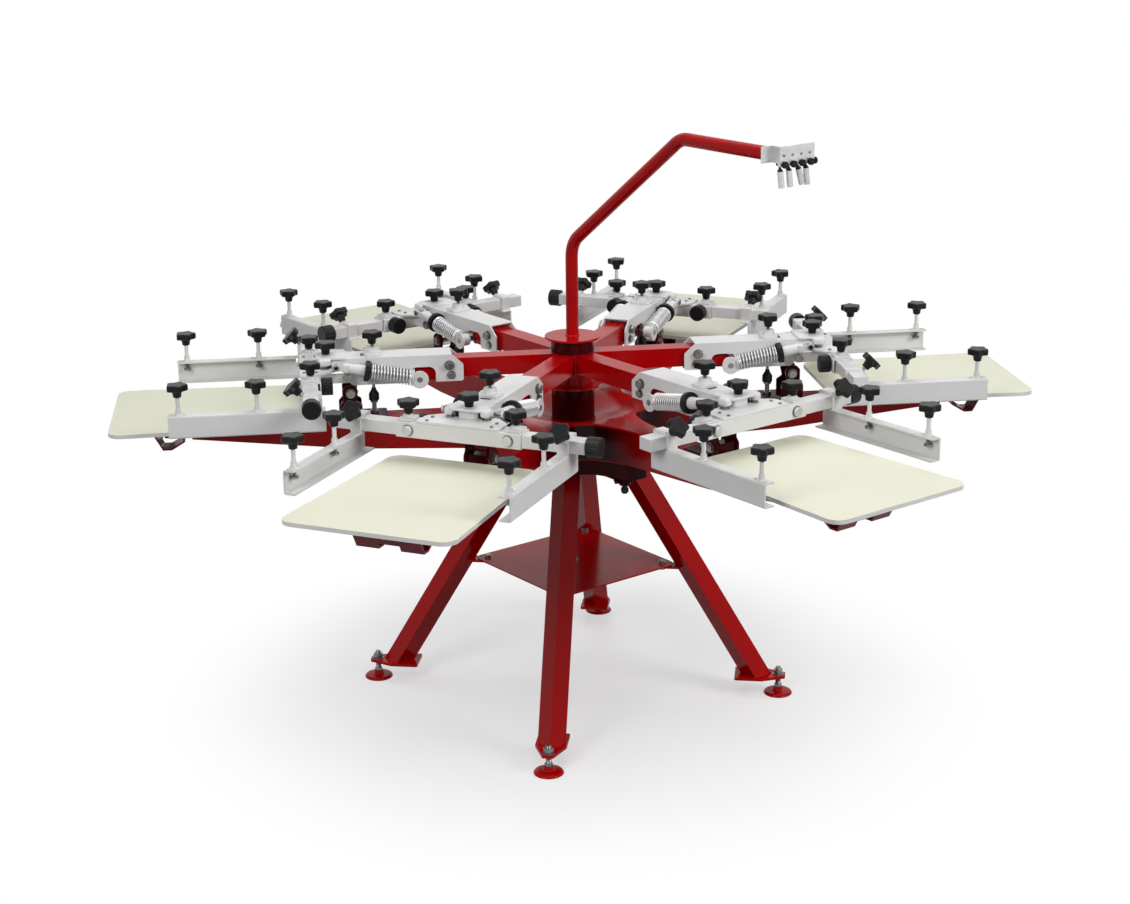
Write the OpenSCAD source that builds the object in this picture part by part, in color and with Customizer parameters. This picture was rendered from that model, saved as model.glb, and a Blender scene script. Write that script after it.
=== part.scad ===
// Six-colour, six-station carousel press for printing by hand through screens.
// A lower carousel carries six platens, an upper one carries six tilting print heads.
// Both turn on one spindle that stands on four splayed legs.
// Every station is drawn at azimuth 0, with x out from the spindle and y along the turn.

/* [Stand] */
// Height of the leg tops above the floor
stand_h = 684; // [640:1:740]
// Thickness of the round plate on the leg tops
deck_t = 8; // [5:1:14]
// Radius of the round plate on the leg tops
deck_r = 162; // [150:1:166]
// Distance of a leg's centre line from the axis at its top
leg_top_r = 148; // [135:1:155]
// Distance of a leg's centre line from the axis at its foot plate
leg_foot_r = 514; // [440:1:560]
// Width of the square leg tube
leg_w = 53; // [44:1:58]
// Wall of the leg tube
leg_wall = 4; // [2:0.5:6]
// Height of the underside of a foot plate
foot_plate_z = 50; // [44:1:70]
// Thickness of a foot plate
foot_plate_t = 8; // [5:1:12]
// Distance from a leg's centre line at its foot plate out to its levelling foot
foot_reach = 63; // [56:1:80]
// Width of a foot plate
foot_plate_w = 84; // [76:1:96]
// Diameter of a levelling foot's disc
foot_d = 80; // [60:1:90]
// Thickness of a levelling foot's disc
foot_disc_t = 9; // [6:1:12]
// Diameter of a levelling foot's stud
stud_d = 16; // [10:1:20]
// Height of the shelf's upper face
shelf_z = 380; // [300:1:460]
// Thickness of the shelf
shelf_t = 4; // [3:1:8]

/* [Spindle] */
// Diameter of the spindle
spindle_d = 50; // [36:1:56]
// Outer diameter of the two carousel hubs
hub_d = 117; // [104:1:124]
// Bore of the two carousel hubs, where the bearings sit
hub_bore_d = 84; // [70:1:90]
// Height of one bearing
bearing_h = 20; // [12:1:28]
// Diameter of the cap disc on top of the spindle
cap_d = 152; // [130:1:170]
// Thickness of the cap disc
cap_t = 6; // [4:1:10]

/* [Lower carousel] */
// Height of the star's upper face above the round plate
star_lift = 142; // [130:1:160]
// Depth of the star's skirt
star_skirt = 102; // [80:1:112]
// Depth of the inner skirt that hides the round plate
tier_skirt = 146; // [143:1:148]
// Width of the ledge between the outer and the inner skirt
tier_inset = 12; // [9:1:16]
// Thickness of the star's sheet
star_wall = 5; // [3:0.5:7]
// Radius of the waist between two platen arms
waist_r = 188; // [184:1:200]
// Half the width of a platen arm at its root
arm_root_w = 36; // [32:1:40]
// Half the width of a platen arm at its tip
arm_tip_w = 28; // [24:1:31]
// Distance from the axis to the tip of a platen arm
arm_tip_r = 1036; // [1000:1:1044]
// Depth of a platen arm at its tip
arm_tip_h = 38; // [30:1:46]
// Drop of the dish at the hub
dish_drop = 31; // [16:1:40]

/* [Platens] */
// Length of a platen
platen_l = 550; // [480:1:600]
// Width of a platen at its inner edge
platen_in_w = 398; // [340:1:400]
// Width of a platen at its outer edge
platen_out_w = 440; // [400:1:440]
// Thickness of a platen
platen_t = 11; // [8:1:16]
// Corner radius of a platen
platen_corner_r = 35; // [20:1:50]
// Distance from a platen's inner edge out to the tip of its arm
platen_over = 345; // [336:1:356]
// Height of a platen's underside above its arm
platen_lift = 28; // [22:1:34]

/* [Upper carousel] */
// Height from the star to the underside of a head arm
head_arm_lift = 103; // [98:1:112]
// Width of a head arm
head_arm_w = 55; // [48:1:58]
// Depth of a head arm
head_arm_h = 52; // [44:1:56]
// Distance from the axis to a head arm's end
head_arm_r = 360; // [357:1:364]
// Height of the upper hub
upper_hub_h = 133; // [120:1:140]
// Diameter of the disc at the foot of the upper hub
skirt_disc_d = 156; // [130:1:170]

/* [Print heads] */
// Distance from the axis to the tilt hinge
hinge_r = 341; // [338:1:344]
// Height of the tilt hinge above the underside of its arm
hinge_lift = 36; // [34:1:38]
// Diameter of the tilt hinge bolt
hinge_d = 16; // [12:1:18]
// Width of a head's channel
channel_w = 80; // [76:1:84]
// Wall of a head's channel
channel_wall = 4; // [3:0.5:5]
// Height of a head's channel
channel_h = 74; // [70:1:78]
// Distance from the channel's rear end to the end of its side walls
channel_l = 352; // [348:1:356]
// Distance from the axis to the off-contact screw
screw_r = 545; // [535:1:555]

/* [Cross bars] */
// Distance from the axis to the middle of the cross bar's sleeve
sleeve_r = 714; // [710:1:718]
// Width of the sleeve
sleeve_w = 54; // [50:1:58]
// Height of the sleeve
sleeve_h = 40; // [38:1:44]
// Length of the sleeve
sleeve_l = 334; // [310:1:350]
// Wall of the sleeve
sleeve_wall = 3.6; // [3:0.1:5]
// Room that the bar has in its sleeve for setting the print in register
register_play = 5; // [0.6:0.1:8]
// Length of the sliding bar
bar_l = 670; // [650:1:690]

/* [Frame clamps] */
// Distance between the outer faces of the two frame clamps
clamp_span = 580; // [570:1:590]
// Length of a frame clamp
clamp_l = 400; // [360:1:420]
// Height of a frame clamp's channel
clamp_h = 60; // [54:1:62]
// Depth of a frame clamp's channel
clamp_d = 30; // [26:1:34]
// Sheet of a frame clamp
clamp_wall = 4; // [3:0.5:5]
// Height of a clamp screw's knob above the channel
clamp_screw_h = 81; // [70:1:90]

/* [Springs] */
// Distance from the axis to the spring's rear pivot
pivot_r = 424; // [420:1:428]
// Height of the spring's rear pivot above the underside of its arm
pivot_lift = 11; // [9:1:14]
// Distance between the centre line of a spring and that of its arm
spring_y = 67; // [66:1:70]
// Outer diameter of a spring
spring_d = 46; // [40:1:48]
// Wire of a spring
spring_wire = 5; // [3:0.5:6]
// Length of a spring's coil
coil_l = 112; // [100:1:113]

/* [Knobs] */
// Diameter of a star knob
star_knob_d = 57; // [48:1:58]
// Height of a star knob
star_knob_h = 34; // [28:1:38]
// Diameter of a round knob
round_knob_d = 47; // [40:1:50]
// Length of a round knob
round_knob_l = 30; // [24:1:32]

/* [Lamp boom] */
// Diameter of the boom's pipe
boom_d = 34; // [26:1:40]
// Height of the boom's upright, from the cap to the first bend's corner
boom_upright = 255; // [200:1:320]
// Reach of the boom
boom_reach = 755; // [700:1:800]
// Reach of the boom's second corner
boom_knee = 448; // [400:1:500]
// Rise of the boom from its first to its second corner
boom_rise = 330; // [280:1:380]
// Radius of the boom's bends
boom_bend_r = 75; // [60:1:90]
// Length of the lamp bracket's face
bracket_l = 110; // [106:1:124]
// Height of the lamp bracket
bracket_h = 40; // [36:1:48]
// Diameter of a guide lamp
lamp_d = 15; // [11:1:17]
// Length of a guide lamp
lamp_l = 46; // [36:1:56]

/* [Hidden] */

// Counts and angles
stations = 6;
legs_n = 4;
pitch_angle = 360 / stations;
leg_angle = 75;
boom_angle = -60;
lamp_tilts = [8, 8, 19, 8];
corner_steps = 5;
$fn = 48;

// Shares of the sizes that they follow
knob_lobe_share = 0.40;
knob_lobe_place_share = 1.18;
knob_head_share = 0.47;
knob_hub_share = 0.46;
hex_share = 1.1547;
head_share = 1.7;
nut_share = 1.5;
neck_share = 0.7;
boss_share = 0.6;
tip_share = 0.8;

// Clearances and small sizes that many pieces share; join is how far welded pieces run together
gap = 0.3;
hub_space = 1.5;
cut = 2;
sheet = 6;
bolt_d = 10;
bolt_head_d = 24;
bolt_head_h = 8;
stem_d = 10;
join = 0.5;
half_turn = 180;

// Heights of the carousels, from the floor up
deck_z = stand_h + deck_t;
star_z = deck_z + star_lift;
head_arm_z = star_z + head_arm_lift;
platen_z = star_z + platen_lift;
hinge_z = head_arm_z + hinge_lift;
pivot_z = head_arm_z + pivot_lift;
arm_clear = 38;
upper_hub_z = head_arm_z - arm_clear - sheet;
upper_hub_top = upper_hub_z + upper_hub_h;
lower_hub_top = upper_hub_z - hub_space;
collar_h = 20;
lower_hub_z = deck_z + collar_h + gap;

// Print head levels
channel_over = 14;
channel_back = 38;
sleeve_drop = 28;
channel_top = head_arm_z + head_arm_h + channel_over;
channel_z = channel_top - channel_h;
channel_r = hinge_r - channel_back;
wall_end_r = channel_r + channel_l;
sleeve_top = channel_top - sleeve_drop;
sleeve_z = sleeve_top - sleeve_h;

// Colours
red = [0.69, 0.06, 0.07];
maroon = [0.36, 0.06, 0.09];
white = [0.90, 0.90, 0.89];
ivory = [0.96, 0.96, 0.88];
black = [0.09, 0.09, 0.10];
zinc = [0.72, 0.71, 0.68];
grey = [0.66, 0.67, 0.67];

// A vector of unit length along v
function unit(v) = v / norm(v);

// v turned by the angle a
function turned(v, a) = [v.x * cos(a) - v.y * sin(a), v.x * sin(a) + v.y * cos(a)];

// A point at radius r and angle a
function polar(r, a) = [r * cos(a), r * sin(a)];

// The arc of radius r that rounds corner b between points a and c
function corner(a, b, c, r) =
    let (u = unit(a - b), w = unit(c - b), half = acos(u * w) / 2)
    let (centre = b + unit(u + w) * r / sin(half))
    let (s = b + u * r / tan(half) - centre, e = b + w * r / tan(half) - centre)
    let (sweep = atan2(s.x * e.y - s.y * e.x, s * e))
    [for (i = [0:corner_steps]) centre + turned(s, sweep * i / corner_steps)];

// Outline p with every corner rounded by radius r
function rounded(p, r) =
    [for (i = [0:len(p) - 1]) each corner(p[(i + len(p) - 1) % len(p)], p[i], p[(i + 1) % len(p)], r)];

// A rectangle's corners from x0 to x1 and from y0 to y1
function rect(x0, x1, y0, y1) = [[x0, y0], [x1, y0], [x1, y1], [x0, y1]];

module at_station(i) rotate([0, 0, pitch_angle * (i - 1)]) children();

module both_sides() {
    children();
    mirror([0, 1, 0]) children();
}

// An outline in x and z, extruded across y from y0 to y1
module side_plate(points, y0, y1)
    translate([0, y1, 0]) rotate([90, 0, 0]) linear_extrude(y1 - y0) polygon(points);

// A hexagonal bolt head of width d across its flats
module hex_head(d, h) cylinder(h = h, d = d * hex_share, $fn = 6);

// A five-lobed star knob that stands on z = 0
module star_knob(d, h) {
    head_h = h * knob_head_share;
    hub_h = h - head_h;
    translate([0, 0, hub_h]) linear_extrude(head_h) difference() {
        circle(d = d);
        for (i = [0:4])
            rotate(i * 72 + 36) translate([d / 2 * knob_lobe_place_share, 0])
                circle(r = d / 2 * knob_lobe_share);
    }
    cylinder(h = hub_h, d = d * knob_hub_share);
}

// A round knob that stands on z = 0
module round_knob(d, l) {
    rim = l / 8;
    cylinder(h = l - rim, d = d);
    translate([0, 0, l - rim]) cylinder(h = rim, d1 = d, d2 = d - 2 * rim);
}

// Stand

leg_lean = atan2(leg_foot_r - leg_top_r, stand_h - foot_plate_z - foot_plate_t);
foot_nut_h = 14;
foot_hub_d = 28;
foot_hub_h = 12;
stud_above = 22;
index_r = 224;
index_pin_d = 16;
index_body_d = 28;
index_body_h = 36;
index_rest = 2;
index_travel = 10;
index_knob_d = 34;
shelf_tip_back = 51;
shelf_tip_w = 26;
shelf_bolt_back = 79;
tab_w = 40;
foot_r = leg_foot_r + foot_reach;
leg_shelf_r = leg_top_r + (stand_h - shelf_z) * tan(leg_lean);
shelf_tip_r = leg_shelf_r - shelf_tip_back;
shelf_bolt_r = leg_shelf_r - shelf_bolt_back;

module pedestal() color(red) {
    translate([0, 0, stand_h]) cylinder(h = deck_t, r = deck_r);
    translate([0, 0, stand_h]) cylinder(h = deck_t + collar_h, d = hub_d - sheet);
    translate([0, 0, stand_h]) cylinder(h = upper_hub_top + gap - stand_h, d = spindle_d);
    rotate([0, 0, boom_angle]) index_bracket();
}

// The bracket that holds the index pin under the star
module index_bracket() {
    half = index_body_d / 2 + sheet;
    plate_z = stand_h - 2 * sheet;
    difference() {
        union() {
            translate([0, 0, plate_z]) linear_extrude(2 * sheet)
                polygon(rounded(rect(deck_r / 2, index_r + half, -half, half), sheet));
            translate([0, 0, plate_z]) linear_extrude(2 * sheet + join)
                polygon(rect(deck_r / 2 + sheet, deck_r - 2 * sheet, -half + sheet, half - sheet));
            translate([index_r, 0, plate_z - index_body_h])
                cylinder(h = index_body_h + join, d = index_body_d);
        }
        translate([index_r, 0, plate_z - index_body_h - cut])
            cylinder(h = index_body_h + 2 * sheet + 2 * cut, d = index_pin_d + 2 * gap);
    }
}

module bearing(z) translate([0, 0, z]) difference() {
    cylinder(h = bearing_h, d = hub_bore_d - 2 * gap);
    translate([0, 0, -cut]) cylinder(h = bearing_h + 2 * cut, d = spindle_d);
}

module bearings() color(zinc) {
    bearing(lower_hub_z + gap);
    bearing(lower_hub_top - bearing_h - gap);
    bearing(upper_hub_z + sheet);
    bearing(upper_hub_top - bearing_h - gap);
}

// A square tube about the line of the leg, as thick as w
module leg_bar(w)
    translate([leg_top_r, 0, stand_h]) rotate([0, 180 - leg_lean, 0]) rotate([0, 0, 45])
        translate([-w / 2, -w / 2, -leg_w]) cube([w, w, 2 * stand_h]);

module leg() {
    foot_top = foot_plate_z + foot_plate_t;
    difference() {
        intersection() {
            leg_bar(leg_w);
            translate([0, -leg_w, foot_top - join]) cube([foot_r, 2 * leg_w, stand_h - foot_top + join]);
        }
        leg_bar(leg_w - 2 * leg_wall);
    }
    foot_plate();
    shelf_tab();
}

module foot_plate() {
    half = foot_plate_w / 2;
    tip = foot_r + foot_hub_d / 2 + sheet;
    outline = [[leg_foot_r - leg_w - sheet, -half], [leg_foot_r + leg_w / 3, -half], [tip, -half / 3],
        [tip, half / 3], [leg_foot_r + leg_w / 3, half], [leg_foot_r - leg_w - sheet, half]];
    translate([0, 0, foot_plate_z]) difference() {
        linear_extrude(foot_plate_t) polygon(rounded(outline, sheet));
        translate([foot_r, 0, -cut])
            cylinder(h = foot_plate_t + 2 * cut, d = stud_d + 2 * gap);
    }
}

// The tab on a leg that carries a corner of the shelf
module shelf_tab() {
    half = tab_w / 2;
    translate([0, 0, shelf_z - shelf_t - sheet]) difference() {
        linear_extrude(sheet) polygon(rect(shelf_bolt_r - half, leg_shelf_r - leg_w / 2, -half, half));
        translate([shelf_bolt_r, 0, -cut]) cylinder(h = sheet + 2 * cut, d = bolt_d);
    }
}

module legs() color(red)
    for (i = [1:legs_n]) rotate([0, 0, leg_angle + 90 * (i - 1)]) leg();

module shelf() color(red) translate([0, 0, shelf_z - shelf_t]) difference() {
    linear_extrude(shelf_t) polygon([for (i = [0:legs_n - 1]) each [
        turned([shelf_tip_r, -shelf_tip_w / 2], leg_angle + 90 * i),
        turned([shelf_tip_r, shelf_tip_w / 2], leg_angle + 90 * i)]]);
    for (i = [0:legs_n - 1]) rotate([0, 0, leg_angle + 90 * i])
        translate([shelf_bolt_r, 0, -cut]) cylinder(h = shelf_t + 2 * cut, d = bolt_d);
    translate([0, 0, -cut]) cylinder(h = shelf_t + 2 * cut, d = bolt_d);
}

// A bolt through a stack of plates of thickness t whose top is at z = 0
module through_bolt(t) {
    hex_head(bolt_d * head_share, bolt_head_h);
    translate([0, 0, -t - bolt_head_h]) cylinder(h = t + 2 * bolt_head_h, d = bolt_d);
    translate([0, 0, -t - bolt_head_h]) hex_head(bolt_d * head_share, bolt_head_h);
}

module stand_fasteners() color(zinc) {
    for (i = [1:legs_n]) rotate([0, 0, leg_angle + 90 * (i - 1)]) {
        translate([foot_r, 0, foot_plate_z + foot_plate_t]) difference() {
            hex_head(stud_d * nut_share, foot_nut_h);
            translate([0, 0, -cut]) cylinder(h = foot_nut_h + 2 * cut, d = stud_d + 2 * gap);
        }
        translate([shelf_bolt_r, 0, shelf_z]) through_bolt(shelf_t + sheet);
    }
    translate([0, 0, shelf_z]) through_bolt(shelf_t);
}

module foot(i) color(red) rotate([0, 0, leg_angle + 90 * (i - 1)]) translate([foot_r, 0, 0]) {
    cylinder(h = foot_disc_t, d1 = foot_d, d2 = foot_d - foot_disc_t);
    cylinder(h = foot_disc_t + foot_hub_h, d = foot_hub_d);
    cylinder(h = foot_plate_z + foot_plate_t + foot_nut_h + stud_above, d = stud_d);
}

// Lamp boom

boom_lean = atan2(boom_rise, boom_knee);
first_turn = 90 - boom_lean;
second_turn = boom_lean;
first_cut = boom_bend_r * tan(first_turn / 2);
second_cut = boom_bend_r * tan(second_turn / 2);
cap_z = upper_hub_top + gap;
boom_z = cap_z + cap_t;
bend_z = boom_z + boom_upright;
boom_top_z = bend_z + boom_rise;
bracket_t = 3;
bracket_step = 33;
bracket_y = boom_d / 2;
bracket_z = boom_top_z - bracket_h / 2 - bracket_t;
lamp_rail_d = 8;
lamp_rail_z = bracket_z - lamp_rail_d;
lamp_pitch = 28;
lamp_pivot_d = 6;
lamp_drop = 12;
lamp_knob_d = 17;
lamp_knob_t = 8;
lamp_start = 11;

// The pipe in x and z, with its two bends
module boom_pipe() rotate([90, 0, 0]) {
    rotate([-90, 0, 0]) translate([0, 0, cap_z])
        cylinder(h = bend_z - first_cut - cap_z, d = boom_d);
    translate([boom_bend_r, bend_z - first_cut, 0]) bend(half_turn - first_turn, first_turn);
    translate([0, bend_z, 0]) rotate([0, 90, boom_lean]) translate([0, 0, first_cut])
        cylinder(h = norm([boom_knee, boom_rise]) - first_cut - second_cut, d = boom_d);
    translate([boom_knee + second_cut, boom_top_z - boom_bend_r, 0]) bend(90, second_turn);
    translate([boom_knee + second_cut, boom_top_z, 0]) rotate([0, 90, 0])
        cylinder(h = boom_reach - boom_knee - second_cut, d = boom_d);
}

// A bend of the pipe from the angle a, turned by sweep, with a core that runs into the pipe at both ends
module bend(a, sweep) {
    rotate([0, 0, a]) rotate_extrude(angle = sweep) translate([boom_bend_r, 0]) circle(d = boom_d);
    for (end = [a, a + sweep]) rotate([0, 0, end]) translate([boom_bend_r, 0, 0]) rotate([90, 0, 0])
        cylinder(h = 2 * join, d = boom_d - 2 * join, center = true);
}

module boom() color(red) {
    translate([0, 0, cap_z]) cylinder(h = cap_t, d = cap_d);
    rotate([0, 0, boom_angle]) boom_pipe();
}

// The folded sheet at the end of the boom, drawn in plan and extruded upwards
module lamp_bracket() color(grey) rotate([0, 0, boom_angle]) {
    x0 = boom_reach;
    x1 = boom_reach + bracket_step;
    y0 = bracket_y;
    y1 = bracket_y + bracket_l;
    translate([0, 0, bracket_z]) linear_extrude(bracket_h) polygon([
        [x0, -y0], [x0 + bracket_t, -y0], [x0 + bracket_t, y0 - bracket_t], [x1, y0 - bracket_t],
        [x1, y1], [x1 - bracket_t, y1], [x1 - bracket_t, y0], [x0, y0]]);
    translate([x1 - lamp_rail_d, y0 - bracket_t, lamp_rail_z])
        cube([lamp_rail_d, bracket_l + bracket_t, lamp_rail_d]);
}

function lamp_y(i) = bracket_y + lamp_start + lamp_pitch * (i - 1);

// Places children on the pivot of lamp i, with x along the pivot
module at_lamp(i) rotate([0, 0, boom_angle])
    translate([boom_reach + bracket_step - lamp_rail_d, lamp_y(i), lamp_rail_z + lamp_rail_d / 2])
        children();

module lamp_knobs() color(black) {
    for (i = [1:4]) at_lamp(i) translate([lamp_rail_d, 0, 0]) rotate([0, 90, 0])
        cylinder(h = lamp_knob_t, d = lamp_knob_d);
    rotate([0, 0, boom_angle])
        translate([boom_reach + bracket_step - lamp_rail_d / 2, bracket_y + bracket_l,
            lamp_rail_z + lamp_rail_d / 2])
        rotate([-90, 0, 0]) cylinder(h = lamp_knob_t, d = lamp_knob_d);
}

module lamp(i) color(grey) at_lamp(i) rotate([lamp_tilts[i - 1], 0, 0])
    translate([-gap - lamp_d / 2, 0, 0]) {
        rotate([0, 90, 0]) translate([0, 0, -lamp_d / 2]) cylinder(h = lamp_d, d = lamp_d * neck_share);
        translate([0, 0, -lamp_drop - join]) cylinder(h = lamp_drop + join, d = lamp_pivot_d);
        translate([0, 0, -lamp_drop - lamp_l]) cylinder(h = lamp_l, d = lamp_d);
    }

// Lower carousel

star_sweep = 35;
star_curve_r = 350;
undercut_r = 600;
undercut_rise = 17;
dish_r = waist_r - 18;
latch_plate_w = 60;

// The radius of the small arc at the waist, for an outline drawn in by the distance d
function waist_arc(d) =
    let (h = pitch_angle / 2, c = cos(star_sweep), s = sin(star_sweep), big = star_curve_r + d)
    ((waist_r - d) * sin(h) + big * (sin(h) * (c - sin(h)) - cos(h) * (cos(h) - s)) - arm_root_w + d)
        / (cos(h) * s - sin(h) * (1 - c));

// One flank of a waist, from a platen arm to the middle of the waist, with x along the waist
function waist_flank(d) =
    let (small = waist_arc(d), big = star_curve_r + d)
    let (c1 = [waist_r - d + small, 0], meet = c1 - polar(small, star_sweep))
    let (c2 = meet + polar(big, star_sweep), last = 90 - pitch_angle / 2)
    concat(
        [for (i = [0:6]) c2 - polar(big, last + (star_sweep - last) * i / 6)],
        [for (i = [1:5]) c1 - polar(small, star_sweep * (1 - i / 5))]);

// The star in plan, drawn in by the distance d
function star_points(d) =
    let (flank = waist_flank(d), n = len(flank))
    [for (k = [0:stations - 1])
        let (a = pitch_angle * k, m = a + pitch_angle / 2)
        each concat(
            [turned([arm_tip_r - d, -arm_tip_w + d], a), turned([arm_tip_r - d, arm_tip_w - d], a)],
            [for (p = flank) turned(p, m)],
            [for (i = [n - 2:-1:0]) turned([flank[i].x, -flank[i].y], m)])];

// What the rising underside of a platen arm takes away
module arm_undercut() {
    half = waist_r * tan(pitch_angle / 2) + sheet;
    low = star_z - star_skirt;
    side_plate([[waist_r, low - cut], [arm_tip_r + cut, low - cut], [arm_tip_r + cut, star_z - arm_tip_h],
        [undercut_r, low + undercut_rise], [waist_r, low]], -half, half);
}

// The dish round the hub, lowered by the distance d
module dish(d) {
    slope = (dish_r - hub_d / 2) / dish_drop;
    translate([0, 0, star_z - dish_drop - d])
        cylinder(h = dish_drop + cut, r1 = hub_d / 2, r2 = dish_r + slope * cut);
}

module star_shell() difference() {
    translate([0, 0, star_z - star_skirt]) linear_extrude(star_skirt) polygon(star_points(0));
    for (i = [1:stations]) at_station(i) arm_undercut();
    difference() {
        translate([0, 0, star_z - star_skirt - cut]) linear_extrude(star_skirt + cut - star_wall)
            polygon(star_points(star_wall));
        dish(star_wall);
    }
    dish(0);
}

// The inner skirt that hides the round plate
module tier() {
    tier_r = waist_r * 3 / 2;
    translate([0, 0, star_z - tier_skirt]) linear_extrude(tier_skirt - star_wall + join) difference() {
        intersection() {
            polygon(star_points(tier_inset));
            circle(r = tier_r);
        }
        intersection() {
            polygon(star_points(tier_inset + star_wall));
            circle(r = tier_r - star_wall);
        }
    }
}

// The plates under the star that the index pin locks into
module latch_plate() {
    half = latch_plate_w / 2;
    translate([0, 0, star_z - tier_skirt]) difference() {
        linear_extrude(sheet) polygon(rect(index_r - half, waist_r * 3 / 2 - star_wall / 2, -half, half));
        translate([index_r, 0, -cut]) cylinder(h = sheet + 2 * cut, d = index_pin_d + 4 * gap);
    }
}

module star() color(red) difference() {
    union() {
        star_shell();
        tier();
        for (i = [1:stations]) at_station(i) latch_plate();
        translate([0, 0, lower_hub_z]) cylinder(h = lower_hub_top - lower_hub_z, d = hub_d);
    }
    translate([0, 0, lower_hub_z - cut])
        cylinder(h = lower_hub_top - lower_hub_z + 2 * cut, d = hub_bore_d);
}

module index_pin() color(black) rotate([0, 0, boom_angle]) {
    low = stand_h - 2 * sheet - index_body_h;
    top = star_z - tier_skirt - index_rest;
    translate([index_r, 0, low - index_travel]) cylinder(h = top - low + index_travel, d = index_pin_d);
    translate([index_r, 0, low - index_travel - 2 * sheet])
        cylinder(h = 2 * sheet + join, d = index_knob_d);
}

// Pieces on the platen arms

gate_r = 608;
gate_w = 64;
gate_top_w = 30;
gate_base_l = 130;
gate_base_w = 84;
gate_half = 34;
gate_plate_t = 8;
gate_h = 86;
gate_bolt_d = 12;
gate_nut_d = 22;
gate_nut_h = 9;
post_d = 14;
post_foot_d = 24;
post_foot_h = 8;
bumper_d = 28;
bumper_h = 18;
bumper_cone_h = 12;
bumper_tip_d = 12;
post_tip_d = 8;
post_tip_h = 12;

gate_z = star_z + sheet;
screw_tip_z = channel_z - 11;
post_top = screw_tip_z - gap;

// The register gate that the head's two lugs drop over
module gate() {
    x0 = gate_r + gate_w / 2 - gate_base_l;
    x1 = gate_r + gate_w / 2;
    translate([0, 0, star_z]) linear_extrude(sheet)
        polygon(rounded(rect(x0, x1, -gate_base_w / 2, gate_base_w / 2), sheet));
    both_sides() difference() {
        side_plate([[x1 - gate_w, gate_z - join], [x1, gate_z - join], [x1, gate_z + gate_h / 2],
            [gate_r + gate_top_w / 2, gate_z + gate_h], [gate_r - gate_top_w / 2, gate_z + gate_h],
            [x1 - gate_w, gate_z + gate_h / 2]], gate_half - gate_plate_t, gate_half);
        for (z = [gate_h / 4, gate_h * 3 / 4]) gate_hole(z);
    }
}

// A bolt's way through both plates of a gate, at the height z above the base
module gate_hole(z) translate([gate_r, 0, gate_z + z]) rotate([-90, 0, 0])
    translate([0, 0, -cut]) cylinder(h = gate_half + 2 * cut, d = gate_bolt_d);

module gates() color(maroon) for (i = [1:stations]) at_station(i) gate();

module gate_bolts() color(zinc) for (i = [1:stations]) at_station(i)
    for (z = [gate_h / 4, gate_h * 3 / 4]) translate([gate_r, 0, gate_z + z]) rotate([-90, 0, 0]) {
        translate([0, 0, -gate_half - join]) cylinder(h = 2 * (gate_half + join), d = gate_bolt_d);
        translate([0, 0, gate_half]) hex_head(gate_nut_d, gate_nut_h);
        translate([0, 0, -gate_half - gate_nut_h]) hex_head(gate_nut_d, gate_nut_h);
    }

module stop_post() {
    cone_z = post_top - post_tip_h - bumper_cone_h;
    translate([screw_r, 0, 0]) {
        translate([0, 0, gate_z]) hex_head(post_foot_d, post_foot_h);
        translate([0, 0, gate_z]) cylinder(h = cone_z - bumper_h + join - gate_z, d = post_d);
        translate([0, 0, cone_z - bumper_h]) cylinder(h = bumper_h + join, d = bumper_d);
        translate([0, 0, cone_z]) cylinder(h = bumper_cone_h, d1 = bumper_d, d2 = bumper_tip_d);
        translate([0, 0, cone_z]) cylinder(h = bumper_cone_h + post_tip_h, d = post_tip_d);
    }
}

module stop_posts() color(black) for (i = [1:stations]) at_station(i) stop_post();

// Platens

saddle_w = 120;
cheek_l = 215;
saddle_start = 40;
saddle_t = 5;
cheek_drop = 46;
cheek_t = 5;
cradle_out = 16;
cradle_l = 98;
cradle_w = 174;
cradle_notch_w = 56;
cradle_inner_drop = 55;
cradle_drop = 76;
cradle_notch_drop = 61;
cradle_sheet = 5;
cradle_low_in_share = 0.36;
cradle_low_out_share = 0.60;
platen_r = arm_tip_r - platen_over;
cradle_r = arm_tip_r + cradle_out;

module platen(i) at_station(i) {
    x0 = platen_r;
    x1 = platen_r + platen_l;
    color(ivory) translate([0, 0, platen_z]) linear_extrude(platen_t) polygon(rounded([
        [x0, -platen_in_w / 2], [x1, -platen_out_w / 2], [x1, platen_out_w / 2], [x0, platen_in_w / 2]],
        platen_corner_r));
    color(maroon) saddle();
}

// The sliding carrier under a platen, which straddles the arm
module saddle() {
    x0 = platen_r + saddle_start;
    top = platen_z - saddle_t;
    translate([0, 0, top]) linear_extrude(saddle_t + join)
        polygon(rounded(rect(x0, cradle_r + cradle_l, -saddle_w / 2, saddle_w / 2), sheet));
    translate([x0, -arm_tip_w / 2, star_z + gap])
        cube([arm_tip_r - x0, arm_tip_w, top + join - star_z - gap]);
    both_sides() translate([x0, arm_root_w, platen_z - cheek_drop])
        cube([cheek_l, cheek_t, cheek_drop - saddle_t + join]);
    cradle();
}

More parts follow.
